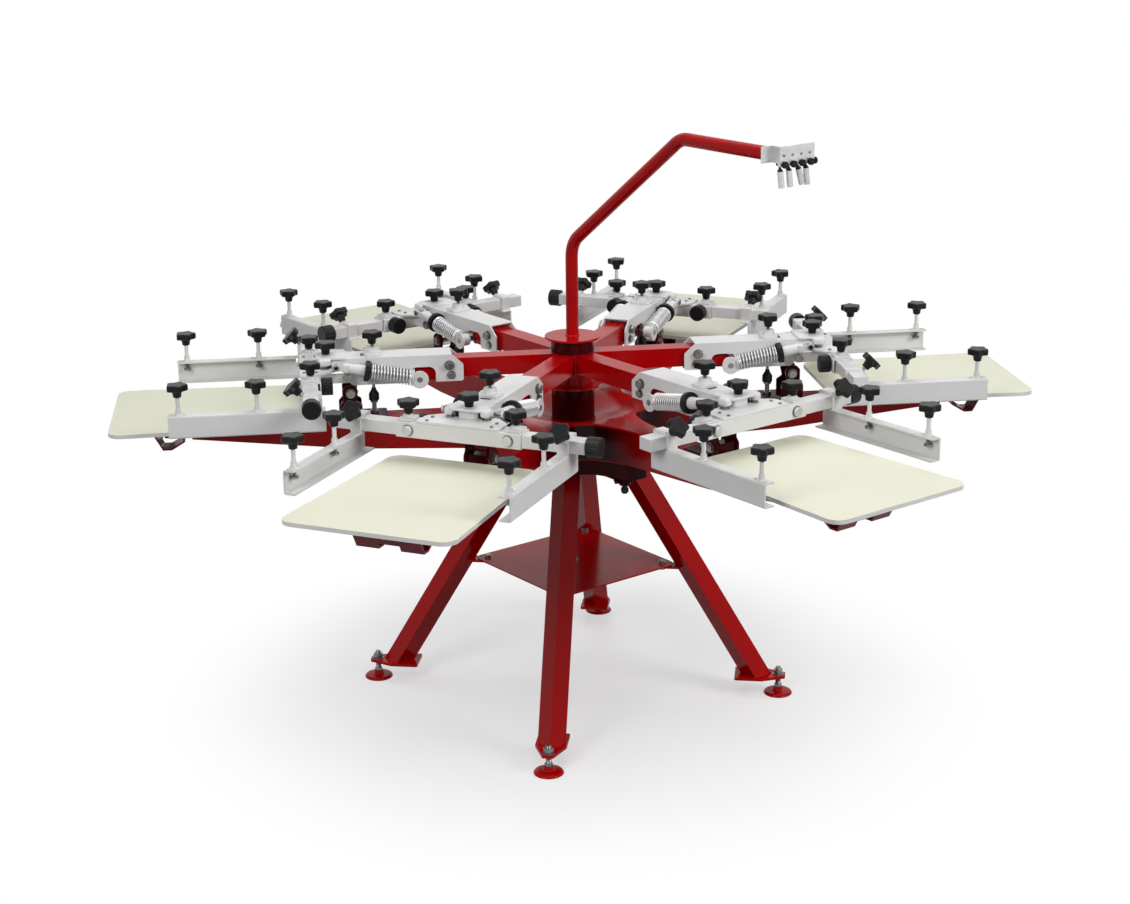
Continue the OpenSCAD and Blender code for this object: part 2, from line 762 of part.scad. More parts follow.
// The cross member at the outer end of the carrier, folded to a trough with two lobes
module cradle() {
    x0 = cradle_r;
    x1 = cradle_r + cradle_l;
    top = platen_z - saddle_t + join;
    low_z = platen_z - cradle_drop;
    x2 = x0 + cradle_l * cradle_low_in_share;
    x3 = x0 + cradle_l * cradle_low_out_share;
    s = cradle_sheet;
    difference() {
        side_plate([[x0, top], [x0, platen_z - cradle_inner_drop], [x2, low_z], [x3, low_z], [x1, top]],
            -cradle_w / 2, cradle_w / 2);
        side_plate([[x0 + s, top + cut], [x0 + s, platen_z - cradle_inner_drop + s / 2],
            [x2 + s / 2, low_z + s], [x3 - s / 2, low_z + s], [x1 - s, top + cut]],
            -cradle_w / 2 - cut, cradle_w / 2 + cut);
        translate([x0 - cut, -cradle_notch_w / 2, low_z - cut])
            cube([cradle_l + 2 * cut, cradle_notch_w, cradle_drop - cradle_notch_drop + cut]);
    }
}

// Upper carousel

arm_wall = 4;
gusset_drop = 46;
gusset_low_r = 327;
gusset_low_drop = 57;
gusset_bend_r = 264;
prong_r = 399;
prong_drop = 14;
pivot_d = 16;
pivot_boss_r = 15;
pivot_end = 85;
pivot_disc_d = 48;
pivot_disc_t = 5;
eye_d = 34;
hinge_head_h = 12;

module head_arm() {
    half = head_arm_w / 2;
    difference() {
        union() {
            translate([0, -half, head_arm_z]) cube([head_arm_r, head_arm_w, head_arm_h]);
            both_sides() gusset();
        }
        translate([hub_d / 2, -half + arm_wall, head_arm_z + arm_wall])
            cube([head_arm_r, head_arm_w - 2 * arm_wall, head_arm_h - 2 * arm_wall]);
        cross_bore(hinge_r, hinge_z, hinge_d);
        cross_bore(pivot_r, pivot_z, pivot_d);
    }
}

// A bore through an arm, across its length
module cross_bore(x, z, d) translate([x, 0, z]) rotate([90, 0, 0])
    cylinder(h = channel_w, d = d, center = true);

// The web under an arm that runs on to carry the spring pivot
module gusset() {
    a = head_arm_z;
    side_plate([[hub_d / 2 - sheet, a], [hub_d / 2 - sheet, a - arm_clear], [gusset_bend_r, a - gusset_drop],
        [gusset_low_r, a - gusset_low_drop], [prong_r, a - prong_drop],
        [pivot_r + pivot_boss_r / 2, pivot_z - pivot_boss_r], [pivot_r + pivot_boss_r, pivot_z],
        [pivot_r + pivot_boss_r / 2, pivot_z + pivot_boss_r],
        [pivot_r - pivot_boss_r, pivot_z + pivot_boss_r],
        [head_arm_r - sheet, a + head_arm_h / 2], [hub_d, a + head_arm_h / 2], [hub_d, a]],
        head_arm_w / 2 - sheet, head_arm_w / 2);
}

module head_arms() color(red) difference() {
    union() {
        translate([0, 0, upper_hub_z]) cylinder(h = sheet, d = skirt_disc_d);
        translate([0, 0, upper_hub_z]) cylinder(h = upper_hub_h, d = hub_d);
        for (i = [1:stations]) at_station(i) head_arm();
    }
    translate([0, 0, upper_hub_z - cut]) cylinder(h = upper_hub_h + 2 * cut, d = hub_bore_d);
}

// Place and slope of a spring
front_pivot_r = 645;
front_pivot_drop = 13;
front_pivot_z = channel_top - front_pivot_drop;
spring_run = norm([front_pivot_r - pivot_r, front_pivot_z - pivot_z]);
spring_lean = atan2(front_pivot_z - pivot_z, front_pivot_r - pivot_r);
seat_t = 3;
cup_d = 56;
cup_t = 15;
strut_d = 30;
strut_end = 18;
rod_d = 12;
coil_start = eye_d / 2 + seat_t + gap;

// Places children on the rear pivot of a spring, with x along the spring
module on_spring() translate([pivot_r, spring_y, pivot_z]) rotate([0, -spring_lean, 0]) children();

// One tilt hinge with its bolt and spacers, and the pivot pin of both springs
module pivot_set() {
    wall_in = channel_w / 2 - channel_wall;
    translate([hinge_r, 0, hinge_z]) rotate([90, 0, 0]) {
        cylinder(h = channel_w + 4 * gap, d = hinge_d, center = true);
        for (s = [0, 1]) mirror([0, 0, s]) {
            translate([0, 0, head_arm_w / 2])
                cylinder(h = wall_in - gap - head_arm_w / 2, d = hinge_d * head_share);
            translate([0, 0, channel_w / 2 + gap]) hex_head(hinge_d * nut_share, hinge_head_h);
        }
    }
    translate([pivot_r, 0, pivot_z]) rotate([90, 0, 0])
        cylinder(h = 2 * pivot_end, d = pivot_d, center = true);
    both_sides() {
        translate([pivot_r, pivot_end, pivot_z]) rotate([90, 0, 0])
            cylinder(h = pivot_disc_t, d = pivot_disc_d);
        on_spring() {
            rotate([90, 0, 0])
                cylinder(h = 2 * (pivot_end - pivot_disc_t - spring_y), d = eye_d, center = true);
            rotate([0, 90, 0]) cylinder(h = eye_d / 2 + seat_t, d = eye_d * boss_share);
            translate([eye_d / 2, 0, 0]) rotate([0, 90, 0]) cylinder(h = seat_t, d = spring_d);
        }
    }
}

module pivot_bolts() color(zinc) for (i = [1:stations]) at_station(i) pivot_set();

// Springs

curls = 7.25;
rings_per_curl = 8;
wire_sides = 6;
coil_r = (spring_d - spring_wire) / 2;
coil_steps = floor(curls * rings_per_curl);
coil_rise = (coil_l - 2 * spring_wire) / (curls);
curl_angle = 360 / rings_per_curl;

// The middle of the wire at step i of the coil, with x along the spring
function coil_mid(i) = [spring_wire + coil_rise * i / rings_per_curl,
    coil_r * cos(curl_angle * i), coil_r * sin(curl_angle * i)];

// The direction outwards from the spring's axis at step i
function coil_out(i) = [0, cos(curl_angle * i), sin(curl_angle * i)];

// The direction of the wire at step i
function coil_dir(i) = unit([coil_rise / 360, -coil_r * PI / 180 * sin(curl_angle * i),
    coil_r * PI / 180 * cos(curl_angle * i)]);

function wire_ring(mid, out, dir) = let (side = cross(dir, out))
    [for (j = [0:wire_sides - 1])
        mid + spring_wire / 2 * (cos(360 * j / wire_sides) * out + sin(360 * j / wire_sides) * side)];

along = [1, 0, 0];
coil_mids = concat([coil_mid(0) - spring_wire * along],
    [for (i = [0:coil_steps]) coil_mid(i)], [coil_mid(coil_steps) + spring_wire * along]);
coil_dirs = concat([along, unit(along + coil_dir(0))],
    [for (i = [1:coil_steps - 1]) coil_dir(i)], [unit(along + coil_dir(coil_steps)), along]);
coil_outs = concat([coil_out(0)], [for (i = [0:coil_steps]) coil_out(i)], [coil_out(coil_steps)]);
coil_rings = len(coil_mids);
coil_points = [for (i = [0:coil_rings - 1]) each wire_ring(coil_mids[i], coil_outs[i], coil_dirs[i])];
coil_faces = concat(
    [for (i = [1:wire_sides - 2]) [0, i, i + 1]],
    [for (k = [0:coil_rings - 2], j = [0:wire_sides - 1]) each
        let (a = k * wire_sides + j, b = k * wire_sides + (j + 1) % wire_sides)
        [[a, a + wire_sides, b], [b, a + wire_sides, b + wire_sides]]],
    [for (i = [1:wire_sides - 2]) let (e = (coil_rings - 1) * wire_sides) [e, e + i + 1, e + i]]);

// Least gap between two curls, measured from ring to ring at least half a curl apart
coil_gap = min([for (i = [0:coil_rings - 1], j = [i + rings_per_curl / 2:1:coil_rings - 1])
    norm(coil_mids[i] - coil_mids[j])]) - spring_wire;
echo(least_gap_between_curls = coil_gap);

module spring_pair() both_sides() on_spring() {
    translate([coil_start, 0, 0]) polyhedron(coil_points, coil_faces);
    translate([coil_start, 0, 0]) rotate([0, 90, 0]) cylinder(h = coil_l, d = rod_d);
}

module springs(i) color(grey) at_station(i) spring_pair();

// Print heads

ear_l = 75;
ear_top_back = 30;
ear_slope = 28;
notch_w = 70;
notch_h = 42;
notch_corner_r = 18;
nose_back = 50;
nose_step = 20;
nose_rise = 37;
nose_over = 27;
nose_plate_w = 96;
nose_plate_back = 35;
nose_plate_l = 78;
tongue_r = 670;
tongue_l = 26;
tongue_w = 54;
flange_back = 74;
flange_w = 116;
flange_root_w = 220;
flange_t = 6;
pad_w = 60;
pad_l = 44;
pad_t = 9;
pad_boss_h = 13;
pad_boss_d = 34;
knob_lift = 8;
side_bolt_d = 22;
side_bolt_drop = 27;
side_bolt_back = 5;
lug_y = 58;
lug_t = 6;
lug_tip_r = 604;
lug_h = 26;
lug_bolt_d = 23;
register_y = 133;
collar_y = 144;
collar_w = 32;
collar_t = 5;
collar_lift = 11;
front_pin_d = 10;
strut_fork_t = 4;
strut_fork_w = 14;

sleeve_in_r = sleeve_r - sleeve_w / 2;
sleeve_out_r = sleeve_r + sleeve_w / 2;

// A star knob on its screw, standing on a face at z = 0 with the stem showing by the distance lift
module knob_screw(lift) {
    color(zinc) translate([0, 0, -join]) cylinder(h = lift + 2 * join, d = stem_d);
    translate([0, 0, lift]) color(black) star_knob(star_knob_d, star_knob_h);
}

// The folded channel of a head, open below
module channel() {
    top = channel_top;
    x1 = wall_end_r;
    inner = channel_w / 2 - channel_wall;
    difference() {
        side_plate([[channel_r, channel_z], [x1 - nose_back, channel_z],
            [x1 - nose_back + nose_step, channel_z + nose_rise], [x1 + nose_over, top],
            [channel_r + ear_top_back, top], [channel_r, top - ear_slope]], -channel_w / 2, channel_w / 2);
        translate([channel_r - cut, -inner, channel_z - cut])
            cube([2 * channel_l, 2 * inner, channel_h - channel_wall + cut]);
        translate([channel_r - cut, -inner, channel_z])
            cube([ear_top_back + cut, 2 * inner, channel_h + cut]);
        side_plate(concat([[channel_r + ear_l + notch_w, channel_z - cut]],
            corner([channel_r + ear_l + notch_w, channel_z],
                [channel_r + ear_l + notch_w, channel_z + notch_h],
                [channel_r + ear_l, channel_z + notch_h], notch_corner_r),
            corner([channel_r + ear_l + notch_w, channel_z + notch_h],
                [channel_r + ear_l, channel_z + notch_h],
                [channel_r + ear_l, channel_z], notch_corner_r),
            [[channel_r + ear_l, channel_z - cut]]), -channel_w, channel_w);
        cross_bore(hinge_r, hinge_z, hinge_d + 2 * gap);
    }
}

// The screws that take up the side play of the tilt hinge
module side_bolts() both_sides()
    translate([hinge_r - side_bolt_back, head_arm_w / 2 + gap, hinge_z - side_bolt_drop])
    rotate([-90, 0, 0]) {
        cylinder(h = channel_w / 2 - head_arm_w / 2 - gap + join, d = side_bolt_d / 2);
        translate([0, 0, channel_w / 2 - head_arm_w / 2 - gap]) hex_head(side_bolt_d, bolt_head_h);
    }

// The screw that sets the height of the screen above the platen, over its stop post
module off_contact_screw() translate([screw_r, 0, channel_top]) {
    color(white) translate([0, 0, -join]) linear_extrude(pad_t + 2 * join)
        polygon(rounded(rect(-pad_l / 2, pad_l / 2, -pad_w / 2, pad_w / 2), sheet));
    color(white) translate([0, 0, pad_t]) cylinder(h = pad_boss_h, d1 = pad_boss_d + sheet, d2 = pad_boss_d);
    translate([0, 0, pad_t + pad_boss_h]) knob_screw(knob_lift);
    color(zinc) translate([0, 0, screw_tip_z - channel_top])
        cylinder(h = channel_top - channel_wall + join - screw_tip_z, d = stem_d);
}

// The rounded nose plate, the tongue under it and the flange that carries the sleeve
module nose() {
    x1 = wall_end_r;
    color(white) {
        translate([x1 - nose_plate_back, 0, channel_top - join]) linear_extrude(sheet + join)
            polygon(rounded(rect(0, nose_plate_l, -nose_plate_w / 2, nose_plate_w / 2), 3 * sheet));
        translate([0, 0, sleeve_top - join]) linear_extrude(flange_t + join) polygon([
            [sleeve_out_r - flange_back - sleeve_w / 2, -flange_w / 2], [sleeve_in_r, -flange_root_w / 2],
            [sleeve_out_r, -flange_root_w / 2], [sleeve_out_r, flange_root_w / 2],
            [sleeve_in_r, flange_root_w / 2], [sleeve_out_r - flange_back - sleeve_w / 2, flange_w / 2]]);
        translate([tongue_r, 0, sleeve_top + flange_t - join]) {
            h = channel_top - channel_wall - sleeve_top - flange_t + 2 * join;
            translate([-tongue_l / 2, -tongue_w / 2 + tongue_l / 2, 0])
                cube([tongue_l, tongue_w - tongue_l, h]);
            for (s = [-1, 1]) translate([0, s * (tongue_w - tongue_l) / 2, 0]) cylinder(h = h, d = tongue_l);
        }
    }
    translate([tongue_r, 0, channel_top + sheet - join]) color(black)
        star_knob(star_knob_d, star_knob_h + join);
}

// The tube that the cross bar slides in, with its screws
module sleeve() {
    bore_w = sleeve_w - 2 * sleeve_wall;
    bore_h = sleeve_h - 2 * sleeve_wall;
    color(white) translate([sleeve_in_r, -sleeve_l / 2, sleeve_z]) difference() {
        cube([sleeve_w, sleeve_l, sleeve_h]);
        translate([sleeve_wall, -cut, sleeve_wall]) cube([bore_w, sleeve_l + 2 * cut, bore_h]);
    }
    both_sides() {
        color(white) translate([sleeve_in_r, collar_y - collar_w / 2, sleeve_top - join])
            cube([sleeve_w, collar_w, collar_t + join]);
        translate([sleeve_r, collar_y, sleeve_top + collar_t]) knob_screw(collar_lift);
        color(zinc) translate([sleeve_out_r - join, register_y, sleeve_z + sleeve_h / 2]) rotate([0, 90, 0])
            cylinder(h = bolt_head_h + join, d = bolt_head_d);
        register_screw();
    }
}

// The screw that pushes the cross bar outwards, with a round knob behind the sleeve
module register_screw() translate([sleeve_in_r, register_y, sleeve_z + sleeve_h / 2]) {
    tip = sleeve_wall + register_play - gap;
    color(zinc) translate([-gap - join, 0, 0]) rotate([0, 90, 0]) cylinder(h = gap + join + tip, d = bolt_d);
    color(black) translate([-gap, 0, 0]) rotate([0, -90, 0]) round_knob(round_knob_d, round_knob_l);
}

// The lugs that drop beside the register gate
module lugs() both_sides() {
    top = sleeve_top - sheet;
    color(white) side_plate(concat([[sleeve_in_r + join, top - lug_h], [sleeve_in_r + join, top]],
        corner([sleeve_in_r, top], [lug_tip_r, top], [lug_tip_r, top - lug_h], lug_h / 3),
        corner([lug_tip_r, top], [lug_tip_r, top - lug_h], [sleeve_in_r, top - lug_h], lug_h / 3)),
        lug_y, lug_y + lug_t);
    color(zinc) translate([lug_tip_r + lug_h / 2, lug_y + lug_t - join, top - lug_h / 2])
        rotate([-90, 0, 0]) cylinder(h = bolt_head_h + join, d = lug_bolt_d);
}

// The front half of a spring unit: cup, strut and fork on their pin
module strut() both_sides() {
    cup_x = coil_start + coil_l + gap;
    on_spring() rotate([0, 90, 0]) {
        color(black) translate([0, 0, cup_x]) cylinder(h = cup_t, d = cup_d);
        color(white) translate([0, 0, cup_x + cup_t - join])
            cylinder(h = spring_run - strut_end - cup_x - cup_t + join,
                d1 = strut_d, d2 = strut_d * tip_share);
    }
    color(white) on_spring() for (y = [-strut_d / 2 + strut_fork_t, strut_d / 2])
        translate([spring_run - strut_end - strut_fork_w, y - strut_fork_t, -strut_fork_w / 2])
            cube([strut_end + 2 * strut_fork_w, strut_fork_t, strut_fork_w]);
    color(zinc) translate([front_pivot_r, channel_w / 2 - join, front_pivot_z]) rotate([-90, 0, 0])
        cylinder(h = spring_y + strut_d / 2 - channel_w / 2 + channel_wall + join, d = front_pin_d);
}

module head(i) at_station(i) {
    color(white) channel();
    color(zinc) side_bolts();
    off_contact_screw();
    nose();
    sleeve();
    lugs();
    strut();
}

// Cross bars

bar_w = sleeve_w - 2 * sleeve_wall - register_play - gap;
bar_h = sleeve_h - 2 * sleeve_wall - 2 * gap;
bar_r1 = sleeve_out_r - sleeve_wall - gap;
bar_r0 = bar_r1 - bar_w;
bar_z = sleeve_z + sleeve_wall + gap;
bar_shift = 5;
bar_start = -bar_l / 2 - bar_shift;
bar_end = bar_l / 2 - bar_shift;
end_knob_d = 50;
end_knob_l = 35;

module cross_bar(i) at_station(i) {
    color(white) translate([bar_r0, bar_start, bar_z]) cube([bar_w, bar_l, bar_h]);
    color(black) translate([(bar_r0 + bar_r1) / 2, bar_end - join, bar_z + bar_h / 2]) rotate([-90, 0, 0])
        round_knob(end_knob_d, end_knob_l + join);
}

// Frame clamps

clamp_r = 680;
clamp_over = 1;
clamp_top = sleeve_z + clamp_over;
clamp_z = clamp_top - clamp_h;
clamp_screws = [174, 373];
clamp_boss_d = 16;
clamp_boss_h = 16;
clamp_pad_d = 22;
clamp_pad_h = 6;
clamp_grip = 16;
block_in = 8;
block_w = 28;
block_chamfer = 14;
lock_lift = 8;

// A channel that opens towards the platen, with the block that slides on the cross bar
module clamp_body() {
    y1 = clamp_span / 2;
    color(white) {
        difference() {
            translate([clamp_r, y1 - clamp_d, clamp_z]) cube([clamp_l, clamp_d, clamp_h]);
            translate([clamp_r - cut, y1 - clamp_d - cut, clamp_z + clamp_wall])
                cube([clamp_l + 2 * cut, clamp_d - clamp_wall + cut, clamp_h - 2 * clamp_wall]);
        }
        slide_block(y1 - block_w, y1);
    }
    for (x = clamp_screws) translate([clamp_r + x, y1 - clamp_d / 2, clamp_top]) clamp_screw();
    lock_screw(y1 - block_w / 2);
}

// The block round the cross bar, from y0 to y1
module slide_block(y0, y1) {
    x0 = bar_r0 - block_in;
    x1 = bar_r1 + block_in;
    top = bar_z + bar_h + block_in;
    difference() {
        side_plate([[x0, clamp_top - join], [x1, clamp_top - join], [x1, top - block_chamfer],
            [x1 - block_chamfer, top], [x0, top]], y0, y1);
        translate([bar_r0 - gap, y0 - cut, bar_z - gap])
            cube([bar_w + 2 * gap, y1 - y0 + 2 * cut, bar_h + 2 * gap]);
    }
}

module clamp_screw() {
    knob_z = clamp_screw_h - star_knob_h;
    color(white) translate([0, 0, -join]) cylinder(h = clamp_boss_h + join, d = clamp_boss_d);
    translate([0, 0, clamp_boss_h]) knob_screw(knob_z - clamp_boss_h);
    color(zinc) translate([0, 0, -clamp_wall - clamp_grip]) cylinder(h = clamp_grip + join, d = stem_d);
    color(black) translate([0, 0, -clamp_wall - clamp_grip - clamp_pad_h])
        cylinder(h = clamp_pad_h + join, d = clamp_pad_d);
}

// The slanting screw that locks the block on the bar, in the middle of the chamfer
module lock_screw(y) {
    half = block_chamfer / 2;
    translate([bar_r1 + block_in - half, y, bar_z + bar_h + block_in - half]) rotate([0, 45, 0])
        knob_screw(lock_lift);
}

module left_clamp(i) at_station(i) clamp_body();

module right_clamp(i) at_station(i) mirror([0, 1, 0]) clamp_body();

pedestal();
bearings();
legs();
shelf();
stand_fasteners();
boom();
lamp_bracket();
lamp_knobs();
lamp(1);  // lamp_1
lamp(2);  // lamp_2
lamp(3);  // lamp_3
lamp(4);  // lamp_4
foot(1);  // foot_1
foot(2);  // foot_2
foot(3);  // foot_3
foot(4);  // foot_4
star();
gates();
gate_bolts();
stop_posts();
index_pin();
platen(1);  // platen_1
platen(2);  // platen_2
platen(3);  // platen_3
platen(4);  // platen_4
platen(5);  // platen_5
platen(6);  // platen_6
head_arms();
pivot_bolts();
head(1);  // head_1
head(2);  // head_2
head(3);  // head_3
head(4);  // head_4
head(5);  // head_5
head(6);  // head_6
cross_bar(1);  // cross_bar_1
cross_bar(2);  // cross_bar_2
cross_bar(3);  // cross_bar_3
cross_bar(4);  // cross_bar_4
cross_bar(5);  // cross_bar_5
cross_bar(6);  // cross_bar_6
left_clamp(1);  // left_clamp_1
left_clamp(2);  // left_clamp_2
left_clamp(3);  // left_clamp_3
left_clamp(4);  // left_clamp_4
left_clamp(5);  // left_clamp_5
left_clamp(6);  // left_clamp_6
right_clamp(1);  // right_clamp_1
right_clamp(2);  // right_clamp_2
right_clamp(3);  // right_clamp_3
right_clamp(4);  // right_clamp_4
right_clamp(5);  // right_clamp_5
right_clamp(6);  // right_clamp_6
springs(1);  // springs_1
springs(2);  // springs_2
springs(3);  // springs_3
springs(4);  // springs_4
springs(5);  // springs_5
springs(6);  // springs_6
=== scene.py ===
"""The looks of a six-station carousel press for printing through screens.

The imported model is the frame. Each class dresses one sub-assembly of it, in millimetres
at the first station, and lays its pieces round the spindle in the model's own place.
"""

import logging
import math
from dataclasses import dataclass, field
from enum import Enum
from typing import Iterable, Iterator, Sequence

import bmesh
import bpy
from mathutils import Matrix, Vector

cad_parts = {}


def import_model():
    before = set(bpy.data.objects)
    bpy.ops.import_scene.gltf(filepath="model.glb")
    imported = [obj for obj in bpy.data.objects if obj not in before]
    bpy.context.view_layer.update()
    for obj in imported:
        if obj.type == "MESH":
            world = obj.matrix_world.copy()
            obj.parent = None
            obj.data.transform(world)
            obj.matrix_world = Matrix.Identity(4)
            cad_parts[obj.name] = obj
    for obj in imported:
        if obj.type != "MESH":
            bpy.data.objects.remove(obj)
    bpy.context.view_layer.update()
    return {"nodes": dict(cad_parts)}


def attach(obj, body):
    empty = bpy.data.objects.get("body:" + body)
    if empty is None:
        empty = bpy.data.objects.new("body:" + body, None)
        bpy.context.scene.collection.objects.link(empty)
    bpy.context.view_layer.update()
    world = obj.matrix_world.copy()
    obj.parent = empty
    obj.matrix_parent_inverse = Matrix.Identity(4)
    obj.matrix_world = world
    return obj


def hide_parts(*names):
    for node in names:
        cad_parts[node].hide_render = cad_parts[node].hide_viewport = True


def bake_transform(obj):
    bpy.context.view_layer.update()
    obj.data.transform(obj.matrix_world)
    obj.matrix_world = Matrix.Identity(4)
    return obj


LOG = logging.getLogger("press")
MM = 0.001
STATIONS = 6
PITCH = 360 / STATIONS
LEGS = 4
LEG_ANGLE = 75.0
BOOM_ANGLE = -60.0

# Places that two sub-assemblies share, in millimetres
INDEX_R = 224.0
INDEX_D = 16.0
SCREW_R = 545.0
CHANNEL_REAR = 303.0
HINGE = (341.0, 973.0)
SPRING_PIVOT = (424.0, 948.0)
SPRING_Y = 67.0

# What the tools for meshes work to
HEX_CORNERS = 1.1547
COPY_MERGE = 1e-2
SPIN_MERGE = 1e-3
FLAT_ANGLE = math.radians(0.6)
SHARP_ANGLE = math.radians(42)
ROUND_LEAST = 50.0
TOUCH = 0.01

Point = tuple[float, float]
Colour = tuple[float, float, float]
Socket = bpy.types.NodeSocket


def stations() -> Iterator[tuple[int, float]]:
    """Gives each station's number, and the degrees that it is turned round the spindle."""
    for i in range(STATIONS):
        yield i + 1, PITCH * i


class Nodes:
    """The nodes of a material or a world, which start empty."""

    def __init__(self, owner: bpy.types.Material | bpy.types.World) -> None:
        """Clears the owner's nodes."""
        owner.use_nodes = True
        self.tree = owner.node_tree
        self.tree.nodes.clear()

    def add(
        self, kind: str, result: str = "", inputs: dict[str | int, object] | None = None, **settings: str
    ) -> Socket | None:
        """Adds a node.

        Args:
            kind: Its kind, which is its type's name after "ShaderNode".
            result: The output that is wanted, if any.
            inputs: A value, or the socket that feeds it, for each input.
            settings: The node's own settings.

        Returns:
            The output.
        """
        node = self.tree.nodes.new(f"ShaderNode{kind}")
        for name, value in settings.items():
            setattr(node, name, value)
        for name, value in (inputs or {}).items():
            if isinstance(value, Socket):
                self.tree.links.new(value, node.inputs[name])
            else:
                node.inputs[name].default_value = value
        return node.outputs[result] if result else None

    def combined(self, operation: str, first: Socket, second: Socket) -> Socket:
        """Combines two values by a Math node's operation."""
        return self.add("Math", "Value", {0: first, 1: second}, operation=operation)

    def mixed(self, share: Socket, first: Socket | tuple, second: Socket | tuple) -> Socket:
        """Blends two colours, where a share of 1 gives the second."""
        return self.add("Mix", "Result", {"Factor": share, "A": first, "B": second}, data_type="RGBA")

    def ranged(
        self, value: Socket, low: float, high: float, least: float = 0.0, most: float = 1.0, **settings: str
    ) -> Socket:
        """Maps a value from low..high to least..most."""
        ends = {"Value": value, "From Min": low, "From Max": high, "To Min": least, "To Max": most}
        return self.add("MapRange", "Result", ends, **settings)


def corners(geom: Iterable) -> list[bmesh.types.BMVert]:
    """Picks the corners from what a mesh operator gives back."""
    return [v for v in geom if isinstance(v, bmesh.types.BMVert)]


class Grain(Enum):
    """How the small grain of a finish runs."""

    EVEN = (1.0, 1.0, 1.0)
    TURNED = (1.0, 1.0, 14.0)
    DRAWN = (0.12, 0.12, 1.0)


@dataclass(frozen=True)
class Finish:
    """A finish, with the small variation that keeps it from being one flat colour."""

    name: str
    colour: Colour
    shade: Colour
    roughness: float
    metallic: float = 0.0
    specular: float = 0.5
    spread: float = 0.08
    patch_scale: float = 7.0
    patch_detail: float = 4.0
    patch_span: Point = (0.42, 0.66)
    smear_ratio: float = 5.0
    smear_detail: float = 6.0
    smear_span: Point = (0.3, 0.7)
    grain_scale: float = 420.0
    grain_detail: float = 3.0
    grain_depth: float = 0.05
    grain_height: float = 0.001
    grain: Grain = Grain.EVEN
    kin: str = ""

    @property
    def slot(self) -> str:
        """The record's name for the finish, or for the one that it is a darker sort of."""
        return self.kin or self.name

    @property
    def title(self) -> str:
        """The material's name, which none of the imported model's materials has."""
        return f"{self.name}_finish"

    def build(self) -> bpy.types.Material:
        """Makes the finish's material.

        Returns:
            The material, whose nodes read Object coordinates.
        """
        material = bpy.data.materials.new(self.title)
        nodes = Nodes(material)
        place = nodes.add("TexCoord", "Object")
        patches = self._noise(nodes, place, self.patch_scale, self.patch_detail, Grain.EVEN)
        colour = nodes.mixed(nodes.ranged(patches, *self.patch_span), (*self.colour, 1.0), (*self.shade, 1.0))
        smears = self._noise(nodes, place, self.patch_scale * self.smear_ratio, self.smear_detail, self.grain)
        rough = nodes.ranged(smears, *self.smear_span, self.roughness - self.spread, self.roughness + self.spread)
        height = self._noise(nodes, place, self.grain_scale, self.grain_detail, self.grain)
        bump = {"Strength": self.grain_depth, "Distance": self.grain_height, "Height": height}
        shader = nodes.add("BsdfPrincipled", "BSDF", {
            "Base Color": self._with_painted_shade(nodes, place, colour), "Metallic": self.metallic,
            "Specular IOR Level": self.specular, "Roughness": rough, "Normal": nodes.add("Bump", "Normal", bump),
        })
        nodes.add("OutputMaterial", inputs={"Surface": shader})
        return material

    def _with_painted_shade(self, nodes: Nodes, place: Socket, colour: Socket) -> Socket:
        """Gives the colour as it is: a plain finish has no painted shade and is the same all over."""
        return colour

    def _noise(self, nodes: Nodes, place: Socket, scale: float, detail: float, grain: Grain) -> Socket:
        """Adds a noise pattern.

        Args:
            nodes: The material's nodes.
            place: The coordinates.
            scale: Patterns to a metre.
            detail: Octaves of the noise.
            grain: The way that the pattern runs.

        Returns:
            The pattern's value.
        """
        mapped = nodes.add("Mapping", "Vector", {"Vector": place, "Scale": grain.value})
        return nodes.add("TexNoise", "Fac", {"Vector": mapped, "Scale": scale, "Detail": detail})


@dataclass(frozen=True)
class PaintedShadeFinish(Finish):
    """A finish with painted shade: darker on the hollow walls between the arms of the star, where the arms shade them.
    """

    # deep is the painted shade colour. It is blended in on the hollow walls, within the bands of height and reach
    # below.
    deep: Colour = (0.022, 0.0005, 0.001)
    shade_heights: tuple[Point, Point] = ((0.7345, 0.737), (0.831, 0.828))
    shade_reaches: tuple[Point, Point] = ((0.175, 0.180), (0.42, 0.23))

    def _with_painted_shade(self, nodes: Nodes, place: Socket, colour: Socket) -> Socket:
        """Blends painted shade, the deep colour, into the colour on the walls.

        Args:
            nodes: The material's nodes.
            place: The coordinates.
            colour: The colour elsewhere.

        Returns:
            The colour with its painted shade.
        """
        height = nodes.add("SeparateXYZ", "Z", {"Vector": place})
        flat = nodes.add("VectorMath", "Vector", {0: place, 1: (1, 1, 0)}, operation="MULTIPLY")
        reach = nodes.add("VectorMath", "Value", {0: flat}, operation="LENGTH")
        steps = [nodes.ranged(height, *band) for band in self.shade_heights]
        share, *others = [*steps, *(nodes.ranged(reach, *band) for band in self.shade_reaches)]
        for step in others:
            share = nodes.combined("MULTIPLY", share, step)
        return nodes.mixed(share, colour, (*self.deep, 1.0))


RED_COAT = Finish(
    "red_coat", (0.46, 0.001, 0.002), (0.42, 0.001, 0.002), 0.20, specular=0.11, spread=0.03, grain_depth=0.008
)
# The star's red coat, with painted shade on the hollow walls between its arms.
STAR_COAT_PAINTED_SHADE = PaintedShadeFinish(
    "star_coat_painted_shade", (0.46, 0.001, 0.002), (0.42, 0.001, 0.002), 0.17, specular=0.11, spread=0.03, grain_depth=0.008,
    kin="red_coat",
)
